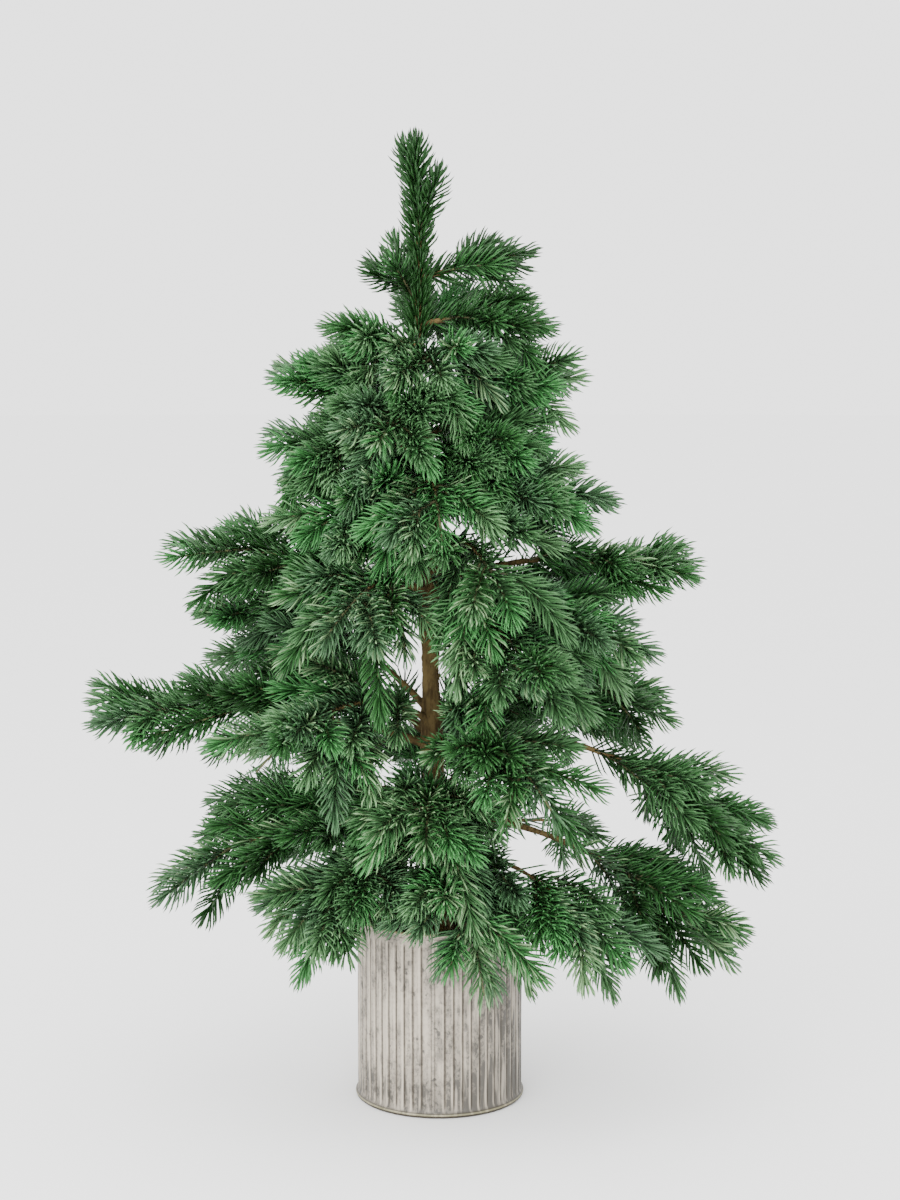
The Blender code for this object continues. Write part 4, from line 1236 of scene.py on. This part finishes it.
def build_fill(settings):
    """A plug of soil with a rough top, and crumbs lying on it."""
    mat = soil_material(settings)
    bm = bmesh.new()
    inner = BUCKET_RADIUS - BUCKET_WALL - FILL_CLEARANCE
    turns = [2 * math.pi * k / SOIL_SIDES for k in range(SOIL_SIDES)]
    rings = []
    for i in range(1, SOIL_RINGS + 1):
        radius = inner * i / SOIL_RINGS
        rings.append([bm.verts.new(soil_point(radius * math.cos(a), radius * math.sin(a)))
                      for a in turns])
    base = BUCKET_WALL + FLOOR_CLEARANCE
    bottom = [bm.verts.new((v.co.x, v.co.y, base)) for v in rings[-1]]
    join_rings(bm, [bottom] + rings[::-1])
    close_ring(bm, rings[0], (0, 0, FILL_TOP - 0.001), facing_up=True)
    close_ring(bm, bottom, (0, 0, base), facing_up=False)
    keep(new_piece("soil_plug", bm, mat), ["fill"])
    bm = bmesh.new()
    bmesh.ops.create_circle(bm, cap_ends=True, segments=64, radius=inner - 0.003,
                            matrix=Matrix.Translation((0, 0, FILL_TOP - 0.0005)))
    crumbs = new_piece("soil_crumbs", bm, mat)
    grow_with(crumbs, crumb_tree(), mat)
    keep(crumbs)


# ---- stage ----------------------------------------------------------------
def soft_light(name, place, width, power):
    """A square light that points at the middle of the tree."""
    data = bpy.data.lights.new(name, "AREA")
    data.shape, data.size, data.energy = "SQUARE", width, power
    light = bpy.data.objects.new(name, data)
    light.location = place
    light.rotation_euler = (MIDDLE - Vector(place)).to_track_quat("-Z", "Y").to_euler()
    bpy.context.scene.collection.objects.link(light)


def build_stage(settings):
    mat, tree, shader = new_material("studio_floor", roughness=0.9, specular_ior_level=0.0)
    grain = object_noise(tree, 3, detail=2)
    finish_with(tree, shader, blended(tree, grain, opaque(settings.backdrop, 0.96),
                                      opaque(settings.backdrop, 0.98)))
    bm = bmesh.new()
    bmesh.ops.create_circle(bm, cap_ends=True, segments=96, radius=FLOOR_RADIUS,
                            matrix=Matrix.Translation((0, 0, -0.0005)))
    new_piece("studio_floor", bm, mat, smooth_shade=False)

    world = bpy.data.worlds.new("studio")
    world.use_nodes = True
    background = world.node_tree.nodes["Background"]
    background.inputs["Color"].default_value = opaque(settings.backdrop)
    background.inputs["Strength"].default_value = settings.ambient
    bpy.context.scene.world = world
    for name, (place, width) in SOFT_LIGHTS.items():
        soft_light(name, place, width, getattr(settings, name))

    data = bpy.data.cameras.new("camera")
    data.lens = settings.focal_length
    data.sensor_width = 36.0
    camera = bpy.data.objects.new("camera", data)
    camera.location = CAMERA_PLACE
    camera.rotation_euler = (math.radians(90 - CAMERA_PITCH), 0.0, 0.0)
    bpy.context.scene.collection.objects.link(camera)
    bpy.context.scene.camera = camera


# ---- add-on ---------------------------------------------------------------
class PINE_OT_stage(bpy.types.Operator):
    """Set up the pale floor, the soft lights and the camera"""
    bl_idname = "pine.stage"
    bl_label = "Stage"

    def execute(self, context):
        build_stage(context.scene.pine_stage)
        return {"FINISHED"}


class PINE_OT_bucket(bpy.types.Operator):
    """Make the ribbed zinc bucket and the dark marks under its rim, a painted shadow of the hem"""
    bl_idname = "pine.bucket"
    bl_label = "Bucket"

    def execute(self, context):
        build_bucket(context.scene.pine_bucket)
        return {"FINISHED"}


class PINE_OT_fill(bpy.types.Operator):
    """Fill the bucket with soil"""
    bl_idname = "pine.fill"
    bl_label = "Fill"

    def execute(self, context):
        build_fill(context.scene.pine_bucket)
        return {"FINISHED"}


class PINE_OT_wood(bpy.types.Operator):
    """Make the trunk and the bare limbs, with rough bark"""
    bl_idname = "pine.wood"
    bl_label = "Trunk and limbs"

    def execute(self, context):
        settings = context.scene.pine_wood
        build_limbs(settings, build_trunk(settings))
        return {"FINISHED"}


class PINE_OT_twigs(bpy.types.Operator):
    """Grow the thin stems under the needles"""
    bl_idname = "pine.twigs"
    bl_label = "Twigs"

    def execute(self, context):
        build_twigs(context.scene.pine_wood)
        return {"FINISHED"}


class PINE_OT_needles(bpy.types.Operator):
    """Grow the needles along every shoot"""
    bl_idname = "pine.needles"
    bl_label = "Needles"

    def execute(self, context):
        build_needles(context.scene.pine_needles)
        return {"FINISHED"}


SETTINGS = {"pine_needles": NeedleSettings, "pine_wood": WoodSettings,
            "pine_bucket": BucketSettings, "pine_stage": StageSettings}
STEPS = (PINE_OT_bucket, PINE_OT_fill, PINE_OT_wood, PINE_OT_twigs, PINE_OT_needles,
         PINE_OT_stage)


class PINE_PT_panel(bpy.types.Panel):
    """Lists the steps that make the tree, with their settings"""
    bl_idname = "PINE_PT_panel"
    bl_label = "Potted pine tree"
    bl_space_type = "VIEW_3D"
    bl_region_type = "UI"
    bl_category = "Pine"

    def draw(self, context):
        for step in STEPS:
            self.layout.operator(step.bl_idname)
        for name in SETTINGS:
            box = self.layout.box()
            group = getattr(context.scene, name)
            for key in group.__annotations__:
                box.prop(group, key)


CLASSES = (*SETTINGS.values(), *STEPS, PINE_PT_panel)


def register():
    for cls in CLASSES:
        bpy.utils.register_class(cls)
    for name, group in SETTINGS.items():
        setattr(bpy.types.Scene, name, PointerProperty(type=group))


def unregister():
    for name in SETTINGS:
        delattr(bpy.types.Scene, name)
    for cls in reversed(CLASSES):
        bpy.utils.unregister_class(cls)


def main():
    register()
    bpy.ops.pine.bucket()
    bpy.ops.pine.fill()
    bpy.ops.pine.wood()
    bpy.ops.pine.twigs()
    bpy.ops.pine.needles()
    bpy.ops.pine.stage()
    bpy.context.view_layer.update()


if __name__ == "__main__":
    main()
